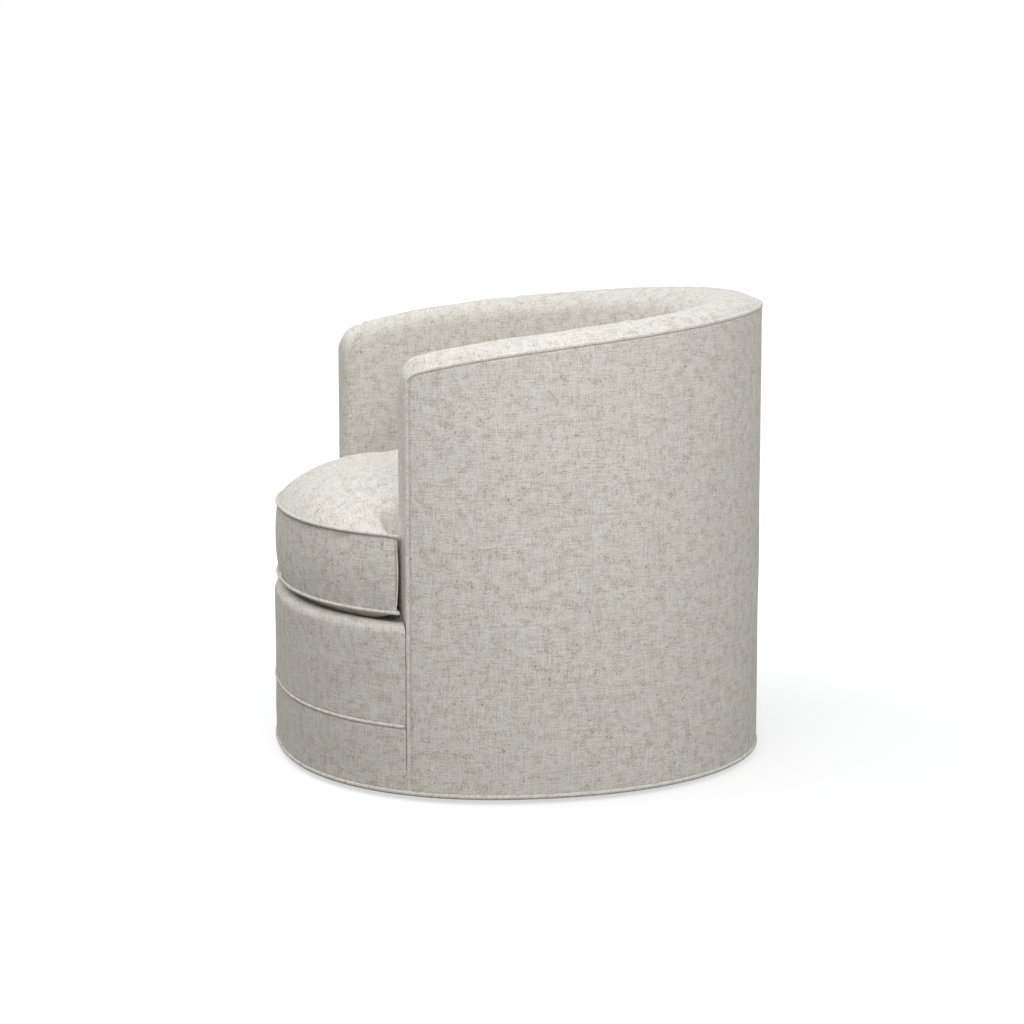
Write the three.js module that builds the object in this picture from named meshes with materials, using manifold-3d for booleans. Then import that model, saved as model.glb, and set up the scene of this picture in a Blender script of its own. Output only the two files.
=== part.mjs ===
// Upholstered swivel barrel chair with a loose seat cushion, in millimetres, +Z up.
// The sitter faces -Y and the sitter's left arm is on +X. The swivel turns about the Z axis.
import * as THREE from "three";
import { mergeVertices } from "three/addons/utils/BufferGeometryUtils.js";
import Module from "manifold-3d";

const wasm = await Module();
wasm.setup();

// Plan of the upholstered body: half an oval to the back and half a squarer one to the front
const bodyHalfWidth = 420;
const bodyBackReach = 418;
const bodyFrontReach = 370;
const backRoundness = 2.05;
const frontRoundness = 2.28;
const armThickness = 90;
const backThickness = 115;
const innerFrontInset = 21;
const armSetback = 151;

// Heights of the body
const skirtClearance = 8;
const armWeltHeight = 636;
const armShoulderRise = 20;
const armShoulderLength = 60;
const rimRise = 63;
const rimCrown = 20;
const rimRoundness = 2.6;
const armCornerRadius = 24;
const weltCornerRadius = 14;
const frontEdgeHeight = 268;
const frontEdgeRadius = 12;
const midWeltHeight = 112;
const deckDrop = 4;
const coverTuck = 12;
const seatRailDrop = 12.3;

// Upholstery
const seamGap = 0.3;
const weltRadius = 3;
const weltInset = 2;
const panelThickness = 5;
const coverThickness = 4;
const frontPadThickness = 12;
const deckCoverThickness = 2;

// Loose cushion
const cushionClearance = 3;
const cushionBelly = 19;
const cushionBoxing = 117;
const cushionCrown = 68;
const cushionCrownRoundness = 2.2;
const cushionWall = 8.6;
const cushionWeltInset = 3;
const seamSlope = 5;
const boxingEase = 1;
const cushionMiddleShare = 0.2;
const earBlendShare = 0.97;
const earPullShare = 0.15;
const fillingSettle = 3;
const zipperHalfAngle = THREE.MathUtils.degToRad(24);
const zipperHalfHeight = 9;
const zipperInset = 2;
const zipperThickness = 3;
const sliderWidth = 9;
const sliderThickness = 1.2;

// Wooden frame
const boardThickness = 18;
const postThickness = 26;
const topRailHeight = 24;
const topRailDrop = 9;
const foamStepDrop = 6;
const foamStepInset = 34;
const seatRailHeight = 45;
const seatRailThickness = 22;
const frontRailThickness = 18;
const stiffenerWidth = 60;
const stiffenerHeight = 30;
const stiffenerSpread = 95;
const stiffenerHalfLength = 250;

// Seat springs
const springWireRadius = 1.9;
const springSpacing = 100;
const springCount = 5;
const springAmplitude = 22;
const springLoops = 6;
const springStraight = 22;
const clipStripThickness = 1;
const clipStripWidth = 14;
const clipWidth = 12;
const clipLength = 10;
const clipHeight = 6.6;

// Swivel and base
const baseRadius = 270;
const baseThickness = 22;
const glideHeight = 7.7;
const glideRadius = 17;
const glideStemRadius = 4;
const glideStemLength = 14;
const glideCircle = 238;
const glideCount = 5;
const plateThickness = 3;
const lowerPlateHalf = 90;
const upperPlateHalf = 118;
const plateCornerRadius = 12;
const platesApart = 8;
const lowerBoltOffset = 72;
const upperBoltOffset = 98;
const boltRadius = 3;
const boltHeadRadius = 7;
const boltHeadHeight = 4;
const boltLength = 19;
const pinRadius = 8;
const pinHeadRadius = 14;
const pinHeadHeight = 2.7;
const pinAccessRadius = 20;
const ballCircle = 48;
const ballCount = 8;
const cageInner = 39.2;
const cageOuter = 57;
const cageThickness = 2;
const runningGap = 0.3;
const pinGap = 0.5;

// Smoothness of the curved bodies
const wallSteps = 26;
const cornerSteps = 4;
const frontSteps = 14;
const roundSegments = 12;
const plateCornerSegments = 2;
const baseSegments = 48;
const weltSides = 6;
const overrun = 10;

// Places that follow from the driving dimensions
const deckTop = frontEdgeHeight - deckDrop;
const coverBottomHeight = deckTop - coverTuck;
const seatRailTop = coverBottomHeight - seatRailDrop;
const planCentreY = (bodyFrontReach - bodyBackReach) / 2;
const armFrontY = planCentreY - bodyFrontReach + armSetback;
const shoulderY = armFrontY + armCornerRadius;
const bodyBackY = planCentreY + bodyBackReach;
const outerPlan = { halfWidth: bodyHalfWidth, back: bodyBackReach, front: bodyFrontReach };
const innerPlan = {
  halfWidth: bodyHalfWidth - armThickness,
  back: bodyBackReach - backThickness,
  front: bodyFrontReach - innerFrontInset,
};
const frameInset = panelThickness + seamGap;
const postInner = frameInset + postThickness;
const baseBottom = glideHeight + seamGap;
const baseTop = baseBottom + baseThickness;
const lowerPlateBottom = baseTop + seamGap;
const lowerPlateTop = lowerPlateBottom + plateThickness;
const upperPlateBottom = lowerPlateTop + platesApart;
const upperPlateTop = upperPlateBottom + plateThickness;
const boardBottom = upperPlateTop + seamGap;
const boardTop = boardBottom + boardThickness;
const frameBottom = boardTop + seamGap;
const skirtBottom = skirtClearance + 2 * weltRadius + seamGap;
const cushionBottom = deckTop + seamGap;
const cushionLowWelt = cushionBottom + cushionBelly;
const cushionTopWelt = cushionLowWelt + cushionBoxing;
const cushionPlan = insetPlan(innerPlan, cushionClearance);
const zipperHeight = (cushionLowWelt + cushionTopWelt) / 2;
const springHeight = seatRailTop + 2 * seamGap + clipStripThickness + springWireRadius;
const outerSpring = ((springCount - 1) / 2) * springSpacing;
const springPlaces = evenShares(-outerSpring, outerSpring, springCount - 1);

// Plans, and points on them

function insetPlan(plan, distance) {
  return {
    halfWidth: plan.halfWidth - distance,
    back: plan.back - distance,
    front: plan.front - distance,
  };
}

function reachAndPower(plan, forward) {
  return forward ? [plan.front, frontRoundness] : [plan.back, backRoundness];
}

// Point of a plan at an angle from the back's middle, positive towards +X.
function outlineAt(plan, angle) {
  const sine = Math.sin(angle);
  const cosine = Math.cos(angle);
  const [reach, power] = reachAndPower(plan, cosine < 0);
  const total = Math.abs(sine / plan.halfWidth) ** power + Math.abs(cosine / reach) ** power;
  const radius = total ** (-1 / power);
  return new THREE.Vector2(radius * sine, planCentreY + radius * cosine);
}

// Angle at which the +X side of a plan passes the depth y.
function angleAtDepth(plan, y) {
  const offset = y - planCentreY;
  const [reach, power] = reachAndPower(plan, offset < 0);
  const x = plan.halfWidth * (1 - Math.abs(offset / reach) ** power) ** (1 / power);
  return Math.atan2(x, offset);
}

// Depth at which a plan passes x, on its front or on its back.
function depthAt(plan, x, forward) {
  const [reach, power] = reachAndPower(plan, forward);
  const offset = reach * (1 - Math.abs(x / plan.halfWidth) ** power) ** (1 / power);
  return planCentreY + (forward ? -offset : offset);
}

// Stations: each gives the point of any plan there.

function sideStation(depth, side) {
  return (plan) => {
    const point = outlineAt(plan, angleAtDepth(plan, depth));
    return new THREE.Vector2(side * point.x, point.y);
  };
}

function wallStation(share) {
  return (plan) => outlineAt(plan, share * angleAtDepth(plan, shoulderY));
}

function frontStation(share) {
  return (plan) => {
    const halfTurn = Math.PI - angleAtDepth(plan, armFrontY);
    return outlineAt(plan, Math.PI - share * halfTurn);
  };
}

function angleStation(angle) {
  return (plan) => outlineAt(plan, angle);
}

function evenShares(from, to, steps) {
  return Array.from({ length: steps + 1 }, (_, i) => from + ((to - from) * i) / steps);
}

// Shares along the wall from index a to index b of its steps, on the whole wall from 1 to -1.
function wallShares(a, b) {
  return evenShares(1 - (2 * a) / wallSteps, 1 - (2 * b) / wallSteps, b - a);
}

// The whole wall from the +X arm's front round the back to the -X arm's front.
function wholeWall(frontY) {
  const depths = evenShares(0, 1, cornerSteps)
    .slice(0, -1)
    .map((share) => frontY + (shoulderY - frontY) * (1 - Math.cos((share * Math.PI) / 2)));
  return [
    ...depths.map((depth) => sideStation(depth, 1)),
    ...wallShares(0, wallSteps).map(wallStation),
    ...depths.toReversed().map((depth) => sideStation(depth, -1)),
  ];
}

// The front from the +X arm round to the -X arm, with both ends at one depth.
function frontRun(endDepth) {
  const between = evenShares(1, -1, frontSteps).slice(1, -1);
  return [sideStation(endDepth, 1), ...between.map(frontStation), sideStation(endDepth, -1)];
}

// Heights

function rimHeight(y) {
  const along = Math.max(0, y - armFrontY);
  const shoulder = armShoulderRise * (1 - Math.exp(-along / armShoulderLength));
  return armWeltHeight + shoulder + (rimRise * along) / (bodyBackY - armFrontY);
}

// How far a rounded arm corner has dropped at a depth behind the arm's front.
function cornerDrop(y, frontY, radius) {
  const short = Math.max(0, radius - Math.max(0, y - frontY));
  return radius - Math.sqrt(radius ** 2 - short ** 2);
}

// Bodies swept through stations

function at(point, z) {
  return new THREE.Vector3(point.x, point.y, z);
}

function signedVolume(points, faces) {
  return faces.reduce((sum, [a, b, c]) => sum + points[a].dot(points[b].clone().cross(points[c])), 0);
}

function bodyFrom(points, faces) {
  const turned = signedVolume(points, faces) < 0;
  const geometry = new THREE.BufferGeometry().setFromPoints(points);
  geometry.setIndex(faces.flatMap(([a, b, c]) => (turned ? [a, c, b] : [a, b, c])));
  return geometry;
}

// Triangles of a ring's own flat face, wound as the ring is. Flat rings use x and y, others z.
function capFaces(ring, start, flat) {
  const first = ring[0];
  const farthest = ring.reduce((far, p) => (reach(first, p) > reach(first, far) ? p : far));
  const along = first.clone().sub(farthest).setZ(0).normalize();
  const flatPoint = (p) => new THREE.Vector2(p.x, p.y);
  const uprightPoint = (p) => new THREE.Vector2(p.dot(along), p.z);
  const contour = ring.map(flat ? flatPoint : uprightPoint);
  const side = Math.sign(THREE.ShapeUtils.area(contour));
  return THREE.ShapeUtils.triangulateShape(contour, []).map(([a, b, c]) => {
    const same = Math.sign(THREE.ShapeUtils.area([contour[a], contour[b], contour[c]])) === side;
    return (same ? [a, b, c] : [a, c, b]).map((i) => start + i);
  });
}

function reach(a, b) {
  return Math.hypot(a.x - b.x, a.y - b.y);
}

// Closed body through rings of equally many points; a closed run joins its last ring to its first.
function loft(rings, { closed = false, flat = false } = {}) {
  const size = rings[0].length;
  const points = rings.flat();
  const faces = [];
  const runs = closed ? rings.length : rings.length - 1;
  for (let k = 0; k < runs; k++) {
    const here = k * size;
    const there = ((k + 1) % rings.length) * size;
    for (let j = 0; j < size; j++) {
      const next = (j + 1) % size;
      faces.push([here + j, here + next, there + next], [here + j, there + next, there + j]);
    }
  }
  if (!closed) {
    const last = rings.length - 1;
    faces.push(...capFaces(rings[0], 0, flat).map(([a, b, c]) => [a, c, b]));
    faces.push(...capFaces(rings[last], last * size, flat));
  }
  return bodyFrom(points, faces);
}

// Upright band between two plans. Its bottom and top are heights or functions of the depth y.
function ribbon(stations, outer, inner, bottom, top) {
  const height = (value, y) => (typeof value === "function" ? value(y) : value);
  const rings = stations.map((station) => {
    const outside = station(outer);
    const inside = station(inner);
    return [
      at(outside, height(bottom, outside.y)),
      at(outside, height(top, outside.y)),
      at(inside, height(top, inside.y)),
      at(inside, height(bottom, inside.y)),
    ];
  });
  return loft(rings);
}

// Round tube along points; facing gives the direction that its first corner keeps to.
function tube(path, radius, sides, facing, closed = false) {
  const count = path.length;
  const rings = path.map((point, i) => {
    const before = path[closed ? (i + count - 1) % count : Math.max(0, i - 1)];
    const after = path[closed ? (i + 1) % count : Math.min(count - 1, i + 1)];
    const tangent = after.clone().sub(before).normalize();
    const first = facing(point).clone();
    first.addScaledVector(tangent, -first.dot(tangent)).normalize();
    const second = tangent.clone().cross(first);
    return Array.from({ length: sides }, (_, k) => {
      const turn = (2 * Math.PI * k) / sides;
      return point
        .clone()
        .addScaledVector(first, radius * Math.cos(turn))
        .addScaledVector(second, radius * Math.sin(turn));
    });
  });
  if (closed) return loft(rings, { closed });
  return tubeWithEnds(rings, path);
}

function tubeWithEnds(rings, path) {
  const body = loft(rings, { closed: true });
  const size = rings[0].length;
  const sideIndices = (rings.length - 1) * size * 6;
  const index = Array.from(body.index.array).slice(0, sideIndices);
  const points = [...rings.flat(), path[0], path[path.length - 1]];
  const last = (rings.length - 1) * size;
  const faces = [];
  for (let i = 0; i < index.length; i += 3) faces.push(index.slice(i, i + 3));
  const outward = faces[0][0] + 1 === faces[0][1];
  for (let j = 0; j < size; j++) {
    const next = (j + 1) % size;
    const front = [points.length - 2, next, j];
    const back = [points.length - 1, last + j, last + next];
    faces.push(outward ? front : front.reverse(), outward ? back : back.reverse());
  }
  return bodyFrom(points, faces);
}

const upward = () => new THREE.Vector3(0, 0, 1);
const fromMiddle = (point) => new THREE.Vector3(point.x, point.y - planCentreY, 0);

// Joins and cuts

function asManifold(geometry) {
  const bare = new THREE.BufferGeometry();
  bare.setAttribute("position", geometry.getAttribute("position"));
  bare.setIndex(geometry.index);
  const merged = mergeVertices(bare);
  return new wasm.Manifold(
    new wasm.Mesh({
      numProp: 3,
      vertProperties: new Float32Array(merged.attributes.position.array),
      triVerts: new Uint32Array(merged.index.array),
    }),
  );
}

function asGeometry(manifold) {
  const mesh = manifold.getMesh();
  const geometry = new THREE.BufferGeometry();
  geometry.setAttribute("position", new THREE.BufferAttribute(mesh.vertProperties, 3));
  geometry.setIndex(new THREE.BufferAttribute(mesh.triVerts, 1));
  return geometry;
}

function cut(geometry, ...cutters) {
  const whole = asManifold(geometry);
  return asGeometry(cutters.reduce((rest, cutter) => rest.subtract(asManifold(cutter)), whole));
}

function join(...geometries) {
  const [first, ...others] = geometries.map(asManifold);
  return asGeometry(others.reduce((all, other) => all.add(other), first));
}

// Turned and pressed pieces

function turned(profile, segments = roundSegments) {
  const points = profile.map(([r, z]) => new THREE.Vector2(r, z));
  return new THREE.LatheGeometry(points, segments).rotateX(Math.PI / 2);
}

function plate(shape, thickness) {
  const options = { depth: thickness, bevelEnabled: false, curveSegments: plateCornerSegments };
  return new THREE.ExtrudeGeometry(shape, options);
}

function circlePoints(x, y, radius, segments) {
  return evenShares(0, 2 * Math.PI, segments)
    .slice(0, -1)
    .map((angle) => new THREE.Vector2(x + radius * Math.cos(angle), y + radius * Math.sin(angle)));
}

function hole(shape, x, y, radius) {
  shape.holes.push(new THREE.Path(circlePoints(x, y, radius, roundSegments).reverse()));
}

function squarePlate(half) {
  const shape = new THREE.Shape();
  const flat = half - plateCornerRadius;
  shape.absarc(flat, flat, plateCornerRadius, 0, Math.PI / 2, false);
  shape.absarc(-flat, flat, plateCornerRadius, Math.PI / 2, Math.PI, false);
  shape.absarc(-flat, -flat, plateCornerRadius, Math.PI, (3 * Math.PI) / 2, false);
  shape.absarc(flat, -flat, plateCornerRadius, (3 * Math.PI) / 2, 2 * Math.PI, false);
  return shape;
}

const squareCorners = [
  [1, 1],
  [-1, 1],
  [-1, -1],
  [1, -1],
];

// Outline of a whole plan, through the same stations as the wall and the front.
function outlineShape(plan) {
  const front = frontRun(armFrontY).slice(1, -1).toReversed();
  return new THREE.Shape([...wholeWall(armFrontY), ...front].map((station) => station(plan)));
}

// Materials and meshes

function finish(color, roughness, metalness = 0) {
  return { color, roughness, metalness };
}

const fabric = finish(0xcfcac0, 0.95);
const foam = finish(0xe8dcb4, 0.9);
const plywood = finish(0xc9a877, 0.7);
const hardwood = finish(0xb98f5c, 0.65);
const steel = finish(0x8f9296, 0.4, 0.9);
const nylon = finish(0x2b2b2d, 0.6);
const felt = finish(0x77746d, 0.95);

function piece(group, name, geometry, look, z = 0) {
  const mesh = new THREE.Mesh(geometry, new THREE.MeshStandardMaterial(look));
  mesh.name = name;
  mesh.position.z = z;
  group.add(mesh);
  return mesh;
}

const chair = new THREE.Group();
const base = new THREE.Group();
const cage = new THREE.Group();
const seat = new THREE.Group();
const cushion = new THREE.Group();
chair.add(base, cage, seat);
seat.add(cushion);

// Base: a plywood disc on glides, under the lower half of the swivel

function addBaseDisc() {
  const shape = new THREE.Shape(circlePoints(0, 0, baseRadius, baseSegments));
  hole(shape, 0, 0, pinAccessRadius);
  for (const [x, y] of squareCorners) {
    hole(shape, x * lowerBoltOffset, y * lowerBoltOffset, boltRadius + runningGap);
  }
  for (const [x, y] of glidePlaces()) hole(shape, x, y, glideStemRadius + runningGap);
  piece(base, "base_disc", plate(shape, baseThickness), plywood, baseBottom);
}

function glidePlaces() {
  return evenShares(0, 2 * Math.PI, glideCount)
    .slice(0, -1)
    .map((angle) => [glideCircle * Math.sin(angle), glideCircle * Math.cos(angle)]);
}

function addGlides() {
  glidePlaces().forEach(([x, y], i) => {
    const body = turned([
      [0, 0],
      [glideRadius, 0],
      [glideRadius, glideHeight],
      [glideStemRadius, glideHeight],
      [glideStemRadius, glideHeight + glideStemLength],
      [0, glideHeight + glideStemLength],
    ]);
    piece(base, `floor_glide_${i + 1}`, body, nylon).position.set(x, y, 0);
  });
}

function swivelPlate(half, boltOffset) {
  const shape = squarePlate(half);
  hole(shape, 0, 0, pinRadius + pinGap);
  for (const [x, y] of squareCorners) hole(shape, x * boltOffset, y * boltOffset, boltRadius + runningGap);
  return plate(shape, plateThickness);
}

// Bolt with its head's seat at z 0, its shank going down.
function bolt() {
  return turned([
    [0, -boltLength],
    [boltRadius, -boltLength],
    [boltRadius, 0],
    [boltHeadRadius, 0],
    [boltHeadRadius / 2, boltHeadHeight],
    [0, boltHeadHeight],
  ]);
}

function addSwivelBase() {
  piece(base, "lower_swivel_plate", swivelPlate(lowerPlateHalf, lowerBoltOffset), steel, lowerPlateBottom);
  squareCorners.forEach(([x, y], i) => {
    const mesh = piece(base, `lower_plate_bolt_${i + 1}`, bolt(), steel);
    mesh.position.set(x * lowerBoltOffset, y * lowerBoltOffset, lowerPlateTop + seamGap);
  });
  const shankBottom = lowerPlateBottom - seamGap;
  const shankTop = upperPlateTop + seamGap;
  const pin = turned([
    [0, shankBottom - pinHeadHeight],
    [pinHeadRadius, shankBottom - pinHeadHeight],
    [pinHeadRadius, shankBottom],
    [pinRadius, shankBottom],
    [pinRadius, shankTop],
    [pinHeadRadius, shankTop],
    [pinHeadRadius, shankTop + pinHeadHeight],
    [0, shankTop + pinHeadHeight],
  ]);
  piece(base, "king_pin", pin, steel);
}

// Ball cage: balls held in a flat ring between the two plates

function addBallCage() {
  const ring = new THREE.Shape(circlePoints(0, 0, cageOuter, baseSegments / 2));
  ring.holes.push(new THREE.Path(circlePoints(0, 0, cageInner, baseSegments / 2).reverse()));
  const ballRadius = platesApart / 2 - runningGap;
  const balls = evenShares(0, 2 * Math.PI, ballCount)
    .slice(0, -1)
    .map((angle) =>
      new THREE.SphereGeometry(ballRadius, 8, 4).translate(
        ballCircle * Math.cos(angle),
        ballCircle * Math.sin(angle),
        cageThickness / 2,
      ),
    );
  const middle = (lowerPlateTop + upperPlateBottom) / 2;
  const body = join(plate(ring, cageThickness), ...balls);
  piece(cage, "ball_cage", body, steel, middle - cageThickness / 2);
}

// Frame

function addBottom() {
  piece(seat, "upper_swivel_plate", swivelPlate(upperPlateHalf, upperBoltOffset), steel, upperPlateBottom);
  squareCorners.forEach(([x, y], i) => {
    const mesh = piece(seat, `upper_plate_bolt_${i + 1}`, bolt(), steel);
    mesh.rotation.x = Math.PI;
    mesh.position.set(x * upperBoltOffset, y * upperBoltOffset, upperPlateBottom - seamGap);
  });
  const shape = outlineShape(insetPlan(outerPlan, frameInset));
  hole(shape, 0, 0, pinAccessRadius);
  for (const [x, y] of squareCorners) {
    hole(shape, x * upperBoltOffset, y * upperBoltOffset, boltRadius + runningGap);
  }
  piece(seat, "bottom_board", plate(shape, boardThickness), plywood, boardBottom);
  for (const [name, side] of [
    ["left", 1],
    ["right", -1],
  ]) {
    const rail = new THREE.BoxGeometry(stiffenerWidth, 2 * stiffenerHalfLength, stiffenerHeight);
    const mesh = piece(seat, `board_stiffener_${name}`, rail, hardwood);
    mesh.position.set(side * (stiffenerSpread + stiffenerWidth / 2), 0, frameBottom + stiffenerHeight / 2);
  }
}

function addPosts() {
  const outer = insetPlan(outerPlan, frameInset);
  const inner = insetPlan(outerPlan, postInner);
  const top = (y) => rimHeight(y) - topRailDrop - topRailHeight - seamGap;
  const armPostStart = armFrontY + coverThickness + seamGap;
  const sides = [
    ["left", 1],
    ["right", -1],
  ];
  for (const [name, side] of sides) {
    const share = (index) => side * (1 - (2 * index) / wallSteps);
    const stations = {
      arm_front_post: [sideStation(armPostStart, side), wallStation(share(0)), wallStation(share(1))],
      arm_middle_post: [wallStation(share(5)), wallStation(share(6))],
      back_post: [wallStation(share(10)), wallStation(share(11))],
    };
    for (const [post, places] of Object.entries(stations)) {
      piece(seat, `${post}_${name}`, ribbon(places, outer, inner, frameBottom, top), hardwood);
    }
  }
}

function addTopRails() {
  const outer = insetPlan(outerPlan, frameInset);
  const inner = insetPlan(outerPlan, postInner);
  const top = (y) => rimHeight(y) - topRailDrop;
  const bottom = (y) => top(y) - topRailHeight;
  const joint = seamGap / (2 * bodyHalfWidth);
  const armShares = wallShares(0, 9);
  armShares[armShares.length - 1] += joint;
  const backShares = wallShares(9, wallSteps - 9);
  backShares[0] -= joint;
  backShares[backShares.length - 1] += joint;
  const arm = (side) => armShares.map((share) => wallStation(side * share));
  piece(seat, "arm_top_rail_left", ribbon(arm(1), outer, inner, bottom, top), hardwood);
  piece(seat, "arm_top_rail_right", ribbon(arm(-1), outer, inner, bottom, top), hardwood);
  piece(seat, "back_top_rail", ribbon(backShares.map(wallStation), outer, inner, bottom, top), hardwood);
}

function addSeatRails() {
  const outer = insetPlan(outerPlan, postInner + seamGap);
  const inner = insetPlan(outerPlan, postInner + seamGap + seatRailThickness);
  const bottom = seatRailTop - seatRailHeight;
  const armPostStart = armFrontY + coverThickness + seamGap;
  const joint = seamGap / (2 * bodyHalfWidth);
  const sideShares = wallShares(0, 9);
  sideShares[sideShares.length - 1] += joint;
  const rearShares = wallShares(9, wallSteps - 9);
  rearShares[0] -= joint;
  rearShares[rearShares.length - 1] += joint;
  for (const [name, side] of [
    ["left", 1],
    ["right", -1],
  ]) {
    const beside = sideShares.map((share) => wallStation(side * share));
    const stations = [sideStation(armPostStart, side), ...beside];
    piece(seat, `side_seat_rail_${name}`, ribbon(stations, outer, inner, bottom, seatRailTop), hardwood);
  }
  const rear = ribbon(rearShares.map(wallStation), outer, inner, bottom, seatRailTop);
  piece(seat, "rear_seat_rail", rear, hardwood);
  const frontOuter = insetPlan(outerPlan, frontPadThickness + seamGap);
  const frontInner = insetPlan(frontOuter, frontRailThickness);
  const front = ribbon(frontRun(armPostStart - seamGap), frontOuter, frontInner, frameBottom, seatRailTop);
  piece(seat, "front_seat_rail", front, plywood);
}

// Springs: zigzag wires from the front rail to the rear rail, held in clips

const frontSpringPlan = insetPlan(outerPlan, frontPadThickness + seamGap + frontRailThickness / 2);
const rearSpringPlan = insetPlan(outerPlan, postInner + seamGap + seatRailThickness / 2);

function springEnds(x) {
  return [depthAt(frontSpringPlan, x, true), depthAt(rearSpringPlan, x, false)];
}

function addSprings() {
  springPlaces.forEach((x, i) => {
    const [front, rear] = springEnds(x);
    const from = front + springStraight;
    const to = rear - springStraight;
    const waves = evenShares(0, 1, springLoops * 4).map((share) => {
      const sideways = springAmplitude * Math.sin(2 * Math.PI * springLoops * share);
      return new THREE.Vector3(x + sideways, from + (to - from) * share, springHeight);
    });
    const path = [
      new THREE.Vector3(x, front - clipLength / 2, springHeight),
      ...waves,
      new THREE.Vector3(x, rear + clipLength / 2, springHeight),
    ];
    piece(seat, `seat_spring_${i + 1}`, tube(path, springWireRadius, 5, upward), steel);
  });
}

function clipStrip(plan, forward) {
  const outer = insetPlan(plan, -clipStripWidth / 2);
  const inner = insetPlan(plan, clipStripWidth / 2);
  const bottom = seatRailTop + seamGap;
  const xs = evenShares(springPlaces[0] - clipWidth, springPlaces.at(-1) + clipWidth, frontSteps);
  const stations = xs.map((x) => (near) => new THREE.Vector2(x, depthAt(near, x, forward)));
  const strip = ribbon(stations, outer, inner, bottom, bottom + clipStripThickness);
  const blocks = springPlaces.map((x) =>
    new THREE.BoxGeometry(clipWidth, clipLength, clipHeight).translate(
      x,
      depthAt(plan, x, forward),
      bottom + clipHeight / 2,
    ),
  );
  const channels = springPlaces.map((x) => {
    const y = depthAt(plan, x, forward);
    const path = [-1, 1].map((end) => new THREE.Vector3(x, y + end * clipStripWidth, springHeight));
    return tube(path, springWireRadius + 2 * runningGap, weltSides, upward);
  });
  return cut(join(strip, ...blocks), ...channels);
}

function addClips() {
  piece(seat, "front_spring_clips", clipStrip(frontSpringPlan, true), steel);
  piece(seat, "rear_spring_clips", clipStrip(rearSpringPlan, false), steel);
}

// T-shaped outlines: between the arms they follow the inner plan, before them the outer plan

function seatOutline(inner, outer, earDepth) {
  const beside = wallShares(0, wallSteps / 2).toReversed().map(wallStation);
  const before = evenShares(1, 0, frontSteps / 2).slice(1).map(frontStation);
  const earEnd = sideStation(earDepth, 1);
  const right = [
    ...[...beside, earEnd].map((station) => station(inner)),
    ...[earEnd, ...before].map((station) => station(outer)),
  ];
  const left = right.slice(1, -1).map((p) => new THREE.Vector2(-p.x, p.y));
  return [...right, ...left.reverse()];
}

function addDeck() {
  const sheet = (inset, name, bottom, thickness, look) => {
    const outer = insetPlan(outerPlan, frontPadThickness + inset);
    const outline = seatOutline(insetPlan(innerPlan, inset), outer, armFrontY - inset);
    const rings = [bottom, bottom + thickness].map((z) => outline.map((p) => at(p, z)));
    piece(seat, name, loft(rings, { flat: true }), look);
  };
  const coverBottom = deckTop - deckCoverThickness;
  const padBottom = seatRailTop + clipHeight + 2 * seamGap;
  sheet(2 * seamGap, "deck_cover", coverBottom, deckCoverThickness, fabric);
  sheet(2 * seamGap, "deck_pad", padBottom, coverBottom - seamGap - padBottom, felt);
}

// Upholstered wall

// Wall with a crowned rim, between two plans. Its arm fronts are rounded on the top and inside.
function crownedWall({ outer, inner, frontY, radius, outerRadius, drop, bottom, stations }) {
  const crownShares = [0, 0.05, 0.14, 0.28, 0.5, 0.72, 0.86, 0.95, 1];
  const rings = stations.map((station) => {
    const outside = station(outer);
    const innerDrop = cornerDrop(station(inner).y, frontY, radius);
    const inside = station(insetPlan(inner, -innerDrop));
    const crown = crownShares.map((share) => {
      const p = outside.clone().lerp(inside, share);
      const blend = Math.min(1, share / crownShares[3]);
      const cornerRadius = outerRadius + (radius - outerRadius) * blend;
      const rise = rimCrown * (1 - Math.abs(2 * share - 1) ** rimRoundness);
      return at(p, rimHeight(p.y) - drop + rise - cornerDrop(p.y, frontY, cornerRadius));
    });
    return [at(outside, bottom), ...crown, at(inside, bottom)];
  });
  return loft(rings);
}

function addInnerCover() {
  const outside = crownedWall({
    outer: outerPlan,
    inner: innerPlan,
    frontY: armFrontY,
    radius: armCornerRadius,
    outerRadius: weltCornerRadius + weltRadius,
    drop: 0,
    bottom: coverBottomHeight,
    stations: wholeWall(armFrontY),
  });
  const hollow = crownedWall({
    outer: insetPlan(outerPlan, coverThickness),
    inner: insetPlan(innerPlan, -coverThickness),
    frontY: armFrontY + coverThickness,
    radius: armCornerRadius - coverThickness,
    outerRadius: weltCornerRadius + weltRadius - coverThickness,
    drop: coverThickness,
    bottom: coverBottomHeight - overrun,
    stations: wholeWall(armFrontY + coverThickness),
  });
  const seamRadius = weltCornerRadius + weltRadius + seamGap;
  const seamFront = armFrontY - seamGap;
  const outerSide = ribbon(
    wholeWall(seamFront),
    insetPlan(outerPlan, -overrun),
    insetPlan(outerPlan, frameInset),
    coverBottomHeight - overrun,
    (y) => rimHeight(y) + weltRadius + seamGap - cornerDrop(y, seamFront, seamRadius),
  );
  piece(seat, "inner_cover", cut(outside, hollow, outerSide), fabric);
}

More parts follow.
